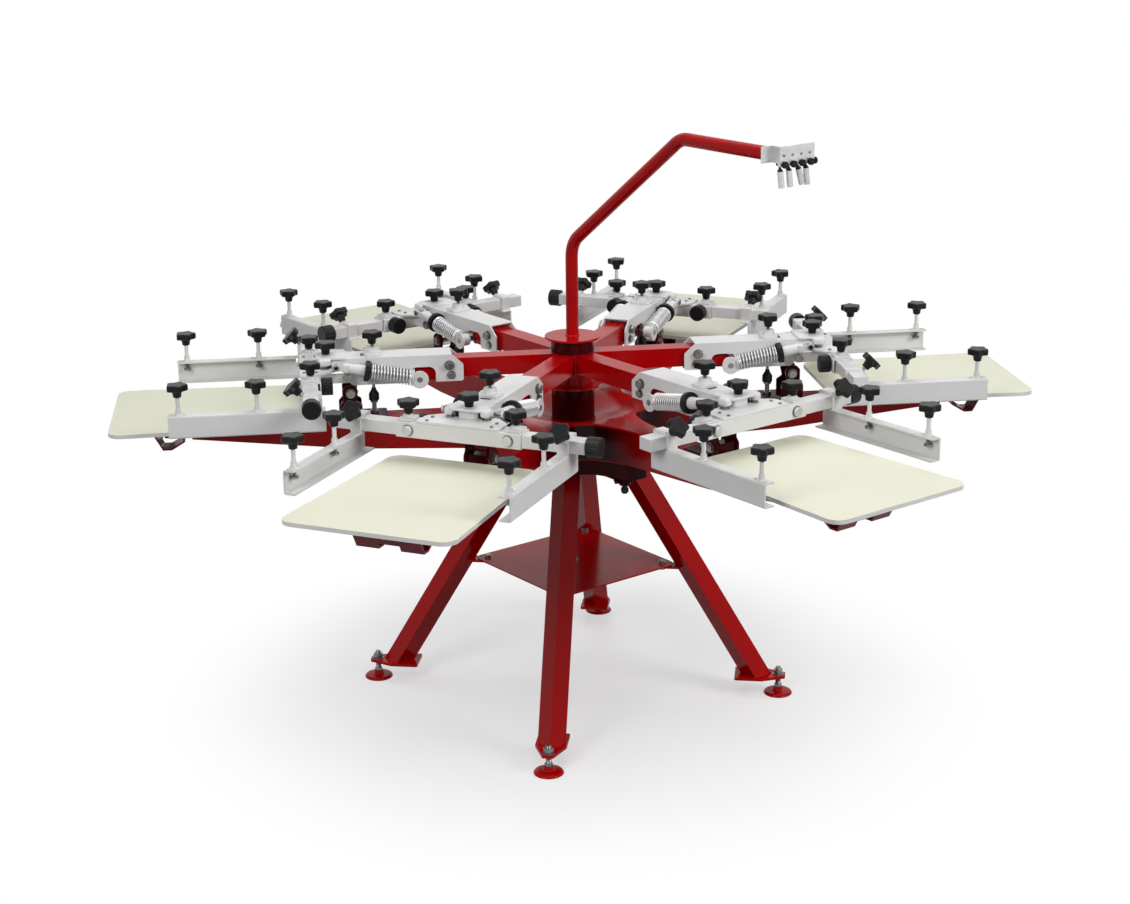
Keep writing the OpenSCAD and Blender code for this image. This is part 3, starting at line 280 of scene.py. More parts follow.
# Painted shade: the red coat darkened to maroon, for parts that sit in the shadow of the arms, the star and the hub
# cap.
RED_COAT_IN_PAINTED_SHADE = Finish("maroon_coat", (0.060, 0.0015, 0.0025), (0.038, 0.001, 0.002), 0.18, specular=0.05, spread=0.05)
WINE_COAT = Finish(
    "wine_coat", (0.25, 0.008, 0.014), (0.20, 0.005, 0.010), 0.24, specular=0.12, spread=0.05, kin="maroon_coat"
)
WHITE_COAT = Finish("white_coat", (0.80, 0.80, 0.795), (0.76, 0.76, 0.755), 0.34, specular=0.4, spread=0.05)
IVORY_BOARD = Finish(
    "ivory_board", (0.89, 0.89, 0.735), (0.87, 0.87, 0.715), 0.62, specular=0.2, spread=0.04, patch_scale=3.0,
    grain_scale=900.0,
)
BLACK_PLASTIC = Finish(
    "black_plastic", (0.007, 0.007, 0.0075), (0.013, 0.013, 0.014), 0.34, specular=0.16, spread=0.06, grain_depth=0.12
)
ZINC_STEEL = Finish(
    "zinc_steel", (0.25, 0.245, 0.235), (0.17, 0.167, 0.16), 0.30, metallic=0.9, spread=0.1, patch_scale=40.0,
    grain=Grain.TURNED,
)
SPRING_STEEL = Finish(
    "spring_steel", (0.68, 0.68, 0.68), (0.60, 0.60, 0.61), 0.34, metallic=0.65, spread=0.05, grain_depth=0.01
)
GREY_ALLOY = Finish(
    "grey_alloy", (0.62, 0.63, 0.63), (0.54, 0.55, 0.55), 0.36, metallic=0.7, spread=0.08, patch_scale=20.0,
    grain=Grain.DRAWN,
)
FINISHES = (
    RED_COAT, STAR_COAT_PAINTED_SHADE, RED_COAT_IN_PAINTED_SHADE, WINE_COAT, WHITE_COAT, IVORY_BOARD, BLACK_PLASTIC, ZINC_STEEL, SPRING_STEEL,
    GREY_ALLOY,
)


class Solid:
    """One solid in the making, in millimetres."""

    def __init__(self) -> None:
        """Starts an empty solid."""
        self.bm = bmesh.new()

    @classmethod
    def box(cls, x: Point, y: Point, z: Point, edge: float = 0.8, steps: int = 2) -> "Solid":
        """Makes a block between two bounds on each axis, with its edges rounded by edge."""
        made = cls()
        size = Matrix.Diagonal((x[1] - x[0], y[1] - y[0], z[1] - z[0], 1.0))
        middle = Matrix.Translation((sum(x) / 2, sum(y) / 2, sum(z) / 2))
        bmesh.ops.create_cube(made.bm, size=1.0, matrix=middle @ size)
        return made.rounded(edge, steps)

    @classmethod
    def rod(
        cls, d: float, h: float, d_top: float | None = None, edge: float = 0.6, sides: int = 40, steps: int = 2
    ) -> "Solid":
        """Makes a round bar or cone that stands on z = 0.

        Args:
            d: Diameter at the foot.
            h: Height.
            d_top: Diameter at the top, where it differs.
            edge: Rounding of both rims.
            sides: Sides round the bar.
            steps: Segments of the rounding.

        Returns:
            The bar.
        """
        made = cls()
        bmesh.ops.create_cone(
            made.bm, cap_ends=True, segments=sides, radius1=d / 2, radius2=(d if d_top is None else d_top) / 2,
            depth=h, matrix=Matrix.Translation((0, 0, h / 2)),
        )
        return made.rounded(edge, steps, least=ROUND_LEAST if sides > 8 else 30)

    @classmethod
    def plate(cls, outline: Sequence[Point], t: float, edge: float = 0.6, steps: int = 2) -> "Solid":
        """Makes a flat plate from z = 0 to t with an outline in x and y."""
        made = cls()
        made.bm.faces.new([made.bm.verts.new((x, y, 0.0)) for x, y in outline])
        return made.raised(t).rounded(edge, steps, least=ROUND_LEAST)

    @classmethod
    def spun(cls, profile: Sequence[Point], sides: int = 48) -> "Solid":
        """Turns a profile of (radius, height) points round the z axis."""
        made = cls()
        points = [made.bm.verts.new((r, 0.0, z)) for r, z in profile]
        edges = [made.bm.edges.new(pair) for pair in zip(points, points[1:])]
        bmesh.ops.spin(
            made.bm, geom=points + edges, cent=(0, 0, 0), axis=(0, 0, 1), angle=2 * math.pi, steps=sides,
            use_merge=True,
        )
        bmesh.ops.remove_doubles(made.bm, verts=made.bm.verts, dist=SPIN_MERGE)
        bmesh.ops.recalc_face_normals(made.bm, faces=made.bm.faces)
        return made

    @classmethod
    def thread(cls, d: float, h: float, pitch: float = 2.0, sides: int = 20) -> "Solid":
        """Makes a threaded bar as a stack of close rings."""
        deep = d / 2 - 0.35 * pitch
        profile: list[Point] = [(0.0, 0.0), (deep, 0.0)]
        for turn in range(int(h / pitch)):
            profile += [(d / 2, (turn + 0.5) * pitch), (deep, (turn + 1) * pitch)]
        return cls.spun([*profile, (deep, h), (0.0, h)], sides)

    @classmethod
    def hexagon(cls, flats: float, h: float, edge: float = 1.0) -> "Solid":
        """Makes a bolt head or nut that stands on z = 0."""
        return cls.rod(flats * HEX_CORNERS, h, edge=edge, sides=6)

    @classmethod
    def headed(cls, washer_d: float, washer_t: float, flats: float, h: float, edge: float = 0.4) -> "Solid":
        """Makes a washer with a bolt head or nut on it, standing on z = 0.

        Args:
            washer_d: Diameter of the washer.
            washer_t: Its thickness.
            flats: Width of the head across its flats.
            h: Height of the head.
            edge: Rounding of the washer.

        Returns:
            Both as one solid.
        """
        return cls.rod(washer_d, washer_t, edge=edge).add(cls.hexagon(flats, h).move(z=washer_t))

    @classmethod
    def copied(cls, node: str, edge: float, steps: int = 2, joined: bool = True) -> "Solid":
        """Copies a node of the frame, with its doubles merged and its edges rounded.

        Args:
            node: The node's name.
            edge: Width of the rounding.
            steps: Segments of the rounding.
            joined: Whether triangles that lie in one plane become one face, which suits a face without a hole.

        Returns:
            The copy, at its own station.
        """
        made = cls()
        made.bm.from_mesh(bpy.data.objects[node].data)
        bmesh.ops.scale(made.bm, vec=(1 / MM,) * 3, verts=made.bm.verts)
        bmesh.ops.remove_doubles(made.bm, verts=made.bm.verts, dist=COPY_MERGE)
        if joined:
            bmesh.ops.dissolve_limit(made.bm, angle_limit=FLAT_ANGLE, verts=made.bm.verts, edges=made.bm.edges)
        return made.rounded(edge, steps)

    def rounded(self, edge: float, steps: int = 2, least: float = 30.0) -> "Solid":
        """Rounds every outer edge that turns by more than least degrees."""
        if edge > 0:
            sharp = [e for e in self.bm.edges if e.is_manifold and e.calc_face_angle() > math.radians(least)]
            self.bevelled(sharp, edge, steps)
        return self

    def bevelled(self, edges: Sequence[bmesh.types.BMEdge], width: float, steps: int) -> "Solid":
        """Rounds the given edges by width."""
        bmesh.ops.bevel(
            self.bm, geom=edges, offset=width, offset_type="OFFSET", segments=steps, profile=0.5, material=-1,
            affect="EDGES", clamp_overlap=True,
        )
        return self

    def raised(self, height: float) -> "Solid":
        """Draws a flat face up into a body."""
        grown = bmesh.ops.extrude_face_region(self.bm, geom=list(self.bm.faces))["geom"]
        bmesh.ops.translate(self.bm, vec=(0, 0, height), verts=corners(grown))
        bmesh.ops.recalc_face_normals(self.bm, faces=self.bm.faces)
        return self

    def turn(self, degrees: float, axis: str = "Z") -> "Solid":
        """Turns the solid about an axis through the origin."""
        bmesh.ops.rotate(
            self.bm, cent=(0, 0, 0), matrix=Matrix.Rotation(math.radians(degrees), 3, axis), verts=self.bm.verts
        )
        return self

    def move(self, x: float = 0.0, y: float = 0.0, z: float = 0.0) -> "Solid":
        """Moves the solid."""
        bmesh.ops.translate(self.bm, vec=(x, y, z), verts=self.bm.verts)
        return self

    def both(self) -> "Solid":
        """Adds the solid's mirror image on the other side of the arm."""
        self.add(self.copy().mirror())
        return self

    def mirror(self) -> "Solid":
        """Turns the solid into its mirror image across y = 0."""
        bmesh.ops.scale(self.bm, vec=(1, -1, 1), verts=self.bm.verts)
        bmesh.ops.reverse_faces(self.bm, faces=self.bm.faces)
        return self

    def copy(self) -> "Solid":
        """Copies the solid."""
        made = Solid()
        made.bm = self.bm.copy()
        return made

    def add(self, *others: "Solid") -> "Solid":
        """Joins other solids to this one without merging them."""
        for other in others:
            mesh = bpy.data.meshes.new("joined")
            other.bm.to_mesh(mesh)
            self.bm.from_mesh(mesh)
            bpy.data.meshes.remove(mesh)
        return self

    def sliced(self, z: float, above: bool = False) -> "Solid":
        """Keeps what lies below the height z, or above it, and closes the cut."""
        geom = [*self.bm.verts, *self.bm.edges, *self.bm.faces]
        bmesh.ops.bisect_plane(
            self.bm, geom=geom, plane_co=(0, 0, z), plane_no=(0, 0, 1), clear_outer=not above, clear_inner=above
        )
        rim = [e for e in self.bm.edges if e.is_boundary]
        way = (0, 0, -1 if above else 1)
        bmesh.ops.triangle_fill(self.bm, use_beauty=True, use_dissolve=False, edges=rim, normal=way)
        return self

    def cut(self, *tools: "Solid") -> "Solid":
        """Cuts other solids out of this one."""
        for tool in tools:
            held = [self._object("body"), tool._object("tool")]
            modifier = held[0].modifiers.new("cut", "BOOLEAN")
            modifier.operation = "DIFFERENCE"
            modifier.solver = "EXACT"
            modifier.object = held[1]
            graph = bpy.context.evaluated_depsgraph_get()
            self.bm.clear()
            self.bm.from_mesh(held[0].evaluated_get(graph).to_mesh())
            for thing in held:
                bpy.data.meshes.remove(thing.data)
        return self

    def _object(self, name: str) -> bpy.types.Object:
        """Puts the solid in a passing object, for a modifier."""
        mesh = bpy.data.meshes.new(name)
        self.bm.to_mesh(mesh)
        thing = bpy.data.objects.new(name, mesh)
        bpy.context.scene.collection.objects.link(thing)
        return thing


@dataclass
class Piece:
    """A finished piece: solids of one finish that ride on one body."""

    name: str
    body: str
    finish: Finish
    solids: list[Solid] = field(default_factory=list)

    def lay(self, turn: float = 0.0, stands_for: Iterable[str] = (), rides: bool = True) -> bpy.types.Object:
        """Makes the piece's object at the origin, with its place in its mesh.

        Args:
            turn: Degrees that its station is turned round the spindle.
            stands_for: Nodes of the frame that it stands for.
            rides: Whether the piece rides on its body.

        Returns:
            The object.
        """
        whole = Solid().add(*self.solids).turn(turn)
        bmesh.ops.scale(whole.bm, vec=(MM,) * 3, verts=whole.bm.verts)
        for face in whole.bm.faces:
            face.smooth = True
        mesh = bpy.data.meshes.new(self.name)
        whole.bm.to_mesh(mesh)
        mesh.set_sharp_from_angle(angle=SHARP_ANGLE)
        mesh.materials.append(bpy.data.materials[self.finish.title])
        made = bpy.data.objects.new(self.name, mesh)
        bpy.context.scene.collection.objects.link(made)
        normals = made.modifiers.new("even_normals", "WEIGHTED_NORMAL")
        normals.keep_sharp = True
        if rides:
            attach(made, self.body)
        if stands_for:
            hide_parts(*stands_for)
        LOG.info("%s: %d faces on %s", self.name, len(mesh.polygons), self.body)
        return made


def rect(x0: float, x1: float, y0: float, y1: float) -> list[Point]:
    """Gives a rectangle's corners, anticlockwise."""
    return [(x0, y0), (x1, y0), (x1, y1), (x0, y1)]


def soft(outline: Sequence[Point], radius: float | Sequence[float], steps: int = 6) -> list[Point]:
    """Rounds the corners of an outline.

    Args:
        outline: The corners.
        radius: One radius for all the corners, or one for each.
        steps: Segments of each arc.

    Returns:
        The rounded outline.
    """
    count = len(outline)
    radii = [radius] * count if isinstance(radius, (int, float)) else list(radius)
    made: list[Point] = []
    for i, size in enumerate(radii):
        here = Vector(outline[i])
        back, ahead = Vector(outline[i - 1]) - here, Vector(outline[(i + 1) % count]) - here
        if size <= 0:
            made.append(tuple(here))
            continue
        back.normalize()
        ahead.normalize()
        half = back.angle(ahead) / 2
        middle = here + (back + ahead).normalized() * (size / math.sin(half))
        start, end = here + back * (size / math.tan(half)) - middle, here + ahead * (size / math.tan(half)) - middle
        sweep = math.atan2(start.x * end.y - start.y * end.x, start.dot(end))
        made += [
            tuple(middle + Matrix.Rotation(sweep * k / steps, 2) @ start)
            for k in range(steps + 1)
        ]
    return made


def side(outline: Sequence[Point], y0: float, y1: float, edge: float = 0.6) -> Solid:
    """Makes a plate from an outline in x and z, from y0 to y1."""
    return Solid.plate(outline, y1 - y0, edge).turn(90, "X").move(y=y1)


def along(outline: Sequence[Point], x0: float, x1: float, edge: float = 0.6) -> Solid:
    """Makes a bar from an outline in y and z, from x0 to x1."""
    return Solid.plate(outline, x1 - x0, edge).turn(90, "Z").turn(90, "Y").move(x=x0)


@dataclass(frozen=True)
class Knobs:
    """The knobs that the press is worked with."""

    star_d: float = 57.0
    star_h: float = 34.0
    scallop: float = 6.3
    sharpness: float = 0.8
    star_edge: float = 3.2
    lobes: int = 5
    round_d: float = 47.0
    round_l: float = 30.0
    round_edge: float = 2.4
    flute: float = 1.1
    flute_every: int = 3

    def star(self) -> Solid:
        """Makes a five-lobed star knob that stands on z = 0.

        Returns:
            The knob: a scalloped head with a rounded rim over a tapered hub.
        """
        head_h = self.star_h * 0.5
        made = Solid()
        ring = bmesh.ops.create_circle(made.bm, cap_ends=True, segments=60, radius=self.star_d / 2)["verts"]
        for v in ring:
            bearing = math.atan2(v.co.y, v.co.x)
            hollow = (0.5 - 0.5 * math.cos(self.lobes * bearing)) ** self.sharpness
            v.co.xy *= 1 - self.scallop / (self.star_d / 2) * hollow
        made.raised(head_h).rounded(self.star_edge, 4, least=60).move(z=self.star_h - head_h)
        top = self.star_h - head_h + 2
        return made.add(Solid.spun([(0, 0), (9.5, 0), (10.5, 1), (11.5, 9), (15.0, top), (0, top)], 32))

    def round(self, d: float | None = None, length: float | None = None) -> Solid:
        """Makes a round knob with a finely fluted rim, standing on z = 0.

        Args:
            d: Diameter, or the usual one.
            length: Length, or the usual one.

        Returns:
            The knob.
        """
        d, length = d or self.round_d, length or self.round_l
        made = Solid()
        bmesh.ops.create_circle(made.bm, cap_ends=True, segments=72, radius=d / 2)
        for k, v in enumerate(made.bm.verts):
            v.co.xy *= 1 - (self.flute / (d / 2) if k % self.flute_every == 0 else 0)
        return made.raised(length).rounded(self.round_edge, 3, least=60)


KNOBS = Knobs()


@dataclass
class Studio:
    """The camera at the photograph's place, a pale floor and plain soft light."""

    eye: Colour = (-0.7320, -5.3975, 2.3832)
    aim: Colour = (-0.02368, 0.00321, 0.69866)
    lens: float = 65.49
    roll: float = -0.011424
    world_level: float = 0.12
    floor_reach: float = 14.0
    floor_white: float = 0.5
    floor_lit: float = 0.28
    floor_shown: float = 0.97
    fade: Point = (0.45, 1.2)
    lamps: tuple[tuple[str, Colour, Colour, float, float], ...] = (
        ("over", (0.2, 0.4, 4.4), (0.0, 0.0, 0.6), 3.0, 70.0),
        ("left", (-3.0, -3.6, 3.4), (0.0, 0.0, 0.7), 2.0, 92.0),
        ("right", (3.5, -3.1, 3.1), (0.0, 0.0, 0.7), 2.0, 110.0),
    )

    def build(self) -> None:
        """Makes the camera, the lights, the world and the floor."""
        scene = bpy.context.scene
        scene.view_settings.view_transform = "Standard"
        self._camera(scene)
        self._world(scene)
        for lamp in self.lamps:
            self._light(*lamp)
        self._floor()

    def _camera(self, scene: bpy.types.Scene) -> None:
        """Puts the camera where the photograph was taken from."""
        data = bpy.data.cameras.new("camera")
        data.lens, data.sensor_width = self.lens, 36.0
        data.clip_start, data.clip_end = 0.05, 100.0
        made = bpy.data.objects.new("camera", data)
        scene.collection.objects.link(made)
        eye = Vector(self.eye)
        ahead = (Vector(self.aim) - eye).normalized()
        right = ahead.cross(Vector((0, 0, 1))).normalized()
        above = right.cross(ahead)
        x = right * math.cos(self.roll) + above * math.sin(self.roll)
        y = above * math.cos(self.roll) - right * math.sin(self.roll)
        turned = Matrix((x, y, -ahead)).transposed().to_4x4()
        made.matrix_world = Matrix.Translation(eye) @ turned
        scene.camera = made

    def _world(self, scene: bpy.types.Scene) -> None:
        """Makes a world that lights evenly and shows white."""
        world = bpy.data.worlds.new("studio")
        scene.world = world
        nodes = Nodes(world)
        lit, seen = (
            nodes.add("Background", "Background", {"Color": (1, 1, 1, 1), "Strength": level})
            for level in (self.world_level, 1.0)
        )
        nodes.add("OutputWorld", inputs={
            "Surface": nodes.add("MixShader", "Shader", {0: self._shown(nodes), 1: lit, 2: seen})
        })

    def _shown(self, nodes: Nodes) -> Socket:
        """Gives 1 to what is seen straight, in a reflection or through something."""
        total = nodes.add("LightPath", "Is Camera Ray")
        for name in ("Is Glossy Ray", "Is Transmission Ray"):
            total = nodes.combined("MAXIMUM", total, nodes.add("LightPath", name))
        return total

    def _light(self, name: str, place: Colour, aim: Colour, size: float, power: float) -> None:
        """Adds a soft square lamp.

        Args:
            name: The lamp's name.
            place: Where it hangs, in metres.
            aim: What it points at.
            size: Length of its side.
            power: Its power in watts.
        """
        data = bpy.data.lights.new(name, "AREA")
        data.size, data.energy = size, power
        made = bpy.data.objects.new(name, data)
        bpy.context.scene.collection.objects.link(made)
        way = Vector(aim) - Vector(place)
        made.matrix_world = Matrix.Translation(place) @ way.to_track_quat("-Z", "Y").to_matrix().to_4x4()

    def _floor(self) -> None:
        """Lays a pale floor that fades to white away from the press."""
        bm = bmesh.new()
        bmesh.ops.create_grid(bm, x_segments=1, y_segments=1, size=self.floor_reach)
        mesh = bpy.data.meshes.new("floor")
        bm.to_mesh(mesh)
        floor = bpy.data.objects.new("floor", mesh)
        bpy.context.scene.collection.objects.link(floor)
        material = bpy.data.materials.new("floor")
        nodes = Nodes(material)
        lit, seen = ((*(grey,) * 3, 1) for grey in (self.floor_lit, self.floor_shown))
        matt = nodes.add("BsdfDiffuse", "BSDF", {"Color": nodes.mixed(self._shown(nodes), lit, seen)})
        white = nodes.add("Emission", "Emission")
        far = nodes.add("VectorMath", "Value", {0: nodes.add("TexCoord", "Object")}, operation="LENGTH")
        fade = nodes.ranged(far, *self.fade, self.floor_white, interpolation_type="SMOOTHSTEP")
        share = nodes.combined("MULTIPLY", fade, self._shown(nodes))
        nodes.add("OutputMaterial", inputs={"Surface": nodes.add("MixShader", "Shader", {0: share, 1: matt, 2: white})})
        mesh.materials.append(material)


@dataclass
class Stand:
    """The legs, shelf, pedestal and levelling feet."""

    foot_r: float = 577.0
    foot_top: float = 58.0
    stud_d: float = 16.0
    stud_top: float = 80.0
    hub_top: float = 21.0
    rivet_side: float = 26.0
    shelf_z: float = 380.0
    shelf_bolt_r: float = 247.0
    shelf_stack: float = 10.0
    bracket_z: float = 672.0
    housing_z: float = 660.0
    housing_gap: float = 0.3
    housing_steps: tuple[Point, ...] = ((15, 0), (16, 1), (16, 6), (19, 8))
    flange_r: float = 23.0
    bolt_back: float = 14.0
    bolt_side: float = 17.0

    def build(self) -> None:
        """Dresses the stand."""
        body = Solid.copied("pedestal", 0).sliced(self.bracket_z - 0.4, above=True).rounded(1.0)
        # Painted shade: the pedestal and the index housing get the darkened red coat.
        Piece("pedestal_body", "stand", RED_COAT_IN_PAINTED_SHADE, [body]).lay(stands_for=["pedestal"])
        Piece("index_housing", "stand", RED_COAT_IN_PAINTED_SHADE, [self._housing()]).lay(BOOM_ANGLE)
        Piece("index_bolts", "stand", BLACK_PLASTIC, [self._index_bolts()]).lay(BOOM_ANGLE)
        Piece("leg_set", "stand", RED_COAT, [Solid.copied("legs", 2.0, 3)]).lay(stands_for=["legs"])
        Piece("shelf_sheet", "stand", RED_COAT, [Solid.copied("shelf", 0.8)]).lay(stands_for=["shelf"])
        self._fasteners()
        for i in range(LEGS):
            turn = LEG_ANGLE + 90 * i
            red, zinc = self._foot()
            foot = f"foot_{i + 1}"
            Piece(f"{foot}_disc", foot, RED_COAT, [red]).lay(turn, stands_for=[foot])
            Piece(f"{foot}_stud", foot, ZINC_STEEL, [zinc]).lay(turn)

    def _housing(self) -> Solid:
        """Makes the bored housing of the index pin, under its bracket."""
        bore, low, top = INDEX_D / 2 + self.housing_gap, self.housing_z, self.bracket_z
        ring = [(bore, low), *((r, low + rise) for r, rise in self.housing_steps)]
        ring += [(self.flange_r, top - 1), (self.flange_r, top), (bore, top), (bore, low)]
        return Solid.spun(ring, 40).move(INDEX_R)

    def _index_bolts(self) -> Solid:
        """Makes the bolts and washers that hold the index bracket."""
        made = Solid()
        for y in (-self.bolt_side, self.bolt_side):
            bolt = Solid.headed(17, 1.8, 12, 7).turn(180, "X")
            made.add(bolt.move(INDEX_R - self.bolt_back, y, self.bracket_z))
        return made

    def _fasteners(self) -> None:
        """Makes the nuts on the foot plates and the bolts of the shelf."""
        solids: list[Solid] = []
        for i in range(LEGS):
            turn = LEG_ANGLE + 90 * i
            solids.append(Solid.headed(32, 1.6, 24, 13).move(self.foot_r, 0, self.foot_top).turn(turn))
            solids.append(self._shelf_bolt(self.shelf_stack).move(self.shelf_bolt_r).turn(turn))
        solids.append(self._shelf_bolt(self.shelf_stack - 6))
        Piece("stand_bolts", "stand", ZINC_STEEL, solids).lay(stands_for=["stand_fasteners"])

    def _shelf_bolt(self, stack: float) -> Solid:
        """Makes a bolt with its washers through the shelf, whose parts are stack thick."""
        top = Solid.headed(24, 1.6, 17, 6.4)
        low = top.copy().turn(180, "X").move(z=-stack)
        return top.add(low, Solid.thread(10, stack + 6).move(z=-stack - 6)).move(z=self.shelf_z)

    def _foot(self) -> tuple[Solid, Solid]:
        """Makes a levelling foot.

        Returns:
            The red disc with its hub, and the threaded stud.
        """
        disc = Solid.spun(
            [(0, 0), (37, 0), (39, 0.6), (40, 2.2), (39.6, 4), (37, 7.4), (33, 8.6), (18, 9), (15.5, 10), (14, 12),
             (13.6, 19.4), (12.4, self.hub_top), (0, self.hub_top)], 56
        )
        for y in (-self.rivet_side, self.rivet_side):
            disc.add(Solid.rod(6, 1.2, edge=0.4, sides=20).move(0, y, 8.2))
        stud = Solid.thread(self.stud_d - 0.4, self.stud_top - self.hub_top, 2.4).add(Solid.hexagon(20, 8))
        stud.move(z=self.hub_top)
        return disc.move(self.foot_r), stud.move(self.foot_r)


@dataclass
class LampBoom:
    """The boom, its folded bracket and the four guide lamps."""

    pipe_d: float = 34.0
    base_z: float = 1032.3
    upright: float = 255.0
    knee: float = 448.0
    rise: float = 330.0
    bend_r: float = 75.0
    reach: float = 755.0
    step: float = 33.0
    bracket_y: float = 17.0
    bracket_l: float = 110.0
    bracket_z: float = 1594.3
    rail: float = 8.0
    screw_start: float = 10.0
    screw_rise: float = 18.0
    lamp_start: float = 11.0
    lamp_pitch: float = 28.0
    lamp_d: float = 15.0
    lamp_l: float = 46.0
    lamp_drop: float = 12.0
    lamp_gap: float = 0.3
    tilts: tuple[float, ...] = (8.0, 8.0, 19.0, 8.0)
    weld: tuple[Point, ...] = ((15, 0), (21, 0), (20.4, 1.6), (19, 3), (17.4, 4.4), (15, 4.6), (15, 0))

    def build(self) -> None:
        """Dresses the boom and the lamps."""
        Piece("boom_pipe", "stand", RED_COAT, [self._pipe(), self._cap()]).lay(BOOM_ANGLE, stands_for=["boom"])
        sheet = Solid.copied("lamp_bracket", 0.5)
        Piece("bracket_sheet", "stand", GREY_ALLOY, [sheet]).lay(stands_for=["lamp_bracket"])
        x_face = self.reach + self.step
        screw = Solid.rod(7, 2.0, edge=0.6, sides=24).turn(90, "Y").move(x_face, 0, self.bracket_z + self.screw_rise)
        start = self.bracket_y + self.screw_start
        screws = [screw.copy().move(y=start + self.lamp_pitch * i) for i in range(len(self.tilts))]
        Piece("bracket_screws", "stand", ZINC_STEEL, screws).lay(BOOM_ANGLE)
        knob = KNOBS.round(17, 8)
        pivot_z = self.bracket_z - self.rail / 2
        knobs = [knob.copy().turn(90, "Y").move(x_face, self._lamp_y(i), pivot_z) for i in range(len(self.tilts))]
        end = knob.copy().turn(-90, "X").move(x_face - self.rail / 2, self.bracket_y + self.bracket_l, pivot_z)
        Piece("lamp_screws", "stand", BLACK_PLASTIC, [*knobs, end]).lay(BOOM_ANGLE, stands_for=["lamp_knobs"])
        for i in range(len(self.tilts)):
            self._lamp(i, pivot_z)

    def _pipe(self) -> Solid:
        """Makes the pipe with its two bends, drawn from the cap outwards."""
        made = Solid()
        lean = math.atan2(self.rise, self.knee)
        turns = (math.pi / 2 - lean, lean)
        cuts = [self.bend_r * math.tan(a / 2) for a in turns]
        bmesh.ops.create_circle(
            made.bm, segments=40, radius=self.pipe_d / 2, matrix=Matrix.Translation((0, 0, self.base_z))
        )
        runs = (self.upright - cuts[0], math.hypot(self.knee, self.rise) - sum(cuts), self.reach - self.knee - cuts[1])
        here, way = Vector((0, 0, self.base_z)), Vector((0, 0, 1))
        ring = list(made.bm.edges)
        for k, run in enumerate(runs):
            grown = bmesh.ops.extrude_edge_only(made.bm, edges=ring)["geom"]
            bmesh.ops.translate(made.bm, vec=way * run, verts=corners(grown))
            ring = self._edges(grown)
            here = here + way * run
            if k < len(turns):
                bend = Matrix.Rotation(turns[k], 3, "Y")
                middle = here + Vector((way.z, 0, -way.x)) * self.bend_r
                geom = [*ring, *dict.fromkeys(v for e in ring for v in e.verts)]
                ring = self._edges(bmesh.ops.spin(
                    made.bm, geom=geom, cent=middle, axis=(0, 1, 0), angle=turns[k], steps=14, use_merge=False
                )["geom_last"])
                here, way = middle + bend @ (here - middle), bend @ way
        bmesh.ops.holes_fill(made.bm, edges=[e for e in made.bm.edges if e.is_boundary])
        bmesh.ops.recalc_face_normals(made.bm, faces=made.bm.faces)
        return made

    def _edges(self, geom: Iterable) -> list[bmesh.types.BMEdge]:
        """Picks the edges of a ring that an operator gives back, without those that run along the pipe."""
        edges = [e for e in geom if isinstance(e, bmesh.types.BMEdge)]
        return [e for e in edges if len(e.link_faces) < 2]

    def _cap(self) -> Solid:
        """Makes the cap disc with the weld round the pipe's foot."""
        disc = Solid.rod(152, 6, edge=1.2, sides=72, steps=3).move(z=self.base_z - 6)
        return disc.add(Solid.spun(self.weld, 40).move(z=self.base_z))

    def _lamp_y(self, i: int) -> float:
        """Gives a lamp's place along the bracket."""
        return self.bracket_y + self.lamp_start + self.lamp_pitch * i

    def _lamp(self, i: int, pivot_z: float) -> None:
        """Makes guide lamp i, tilted on its pivot."""
        body = f"lamp_{i + 1}"
        x = self.reach + self.step - self.rail - self.lamp_gap - self.lamp_d / 2
        low = -self.lamp_drop - self.lamp_l
        r = self.lamp_d / 2
        can = Solid.spun(
            [(0, low + 4), (r - 1.6, low + 4), (r - 1.6, low), (r - 0.4, low), (r, low + 0.6),
             (r, -self.lamp_drop - 6), (r - 0.8, -self.lamp_drop - 5.4), (0, -self.lamp_drop - 5.4)], 32
        )
        cone = Solid.spun(
            [(0, -self.lamp_drop - 6), (r - 0.4, -self.lamp_drop - 6), (r - 1.0, -self.lamp_drop - 3),
             (3.4, -self.lamp_drop + 1), (3.0, -2), (0, -2)], 24
        )
        eye = Solid.rod(10.5, self.lamp_d, edge=0.5).move(z=-r).turn(90, "Y")
        for name, finish, solids in (("can", GREY_ALLOY, [can]), ("neck", BLACK_PLASTIC, [cone, eye])):
            placed = [s.turn(self.tilts[i], "X").move(x, self._lamp_y(i), pivot_z) for s in solids]
            stands_for = [body] if name == "can" else []
            Piece(f"{body}_{name}", body, finish, placed).lay(BOOM_ANGLE, stands_for)


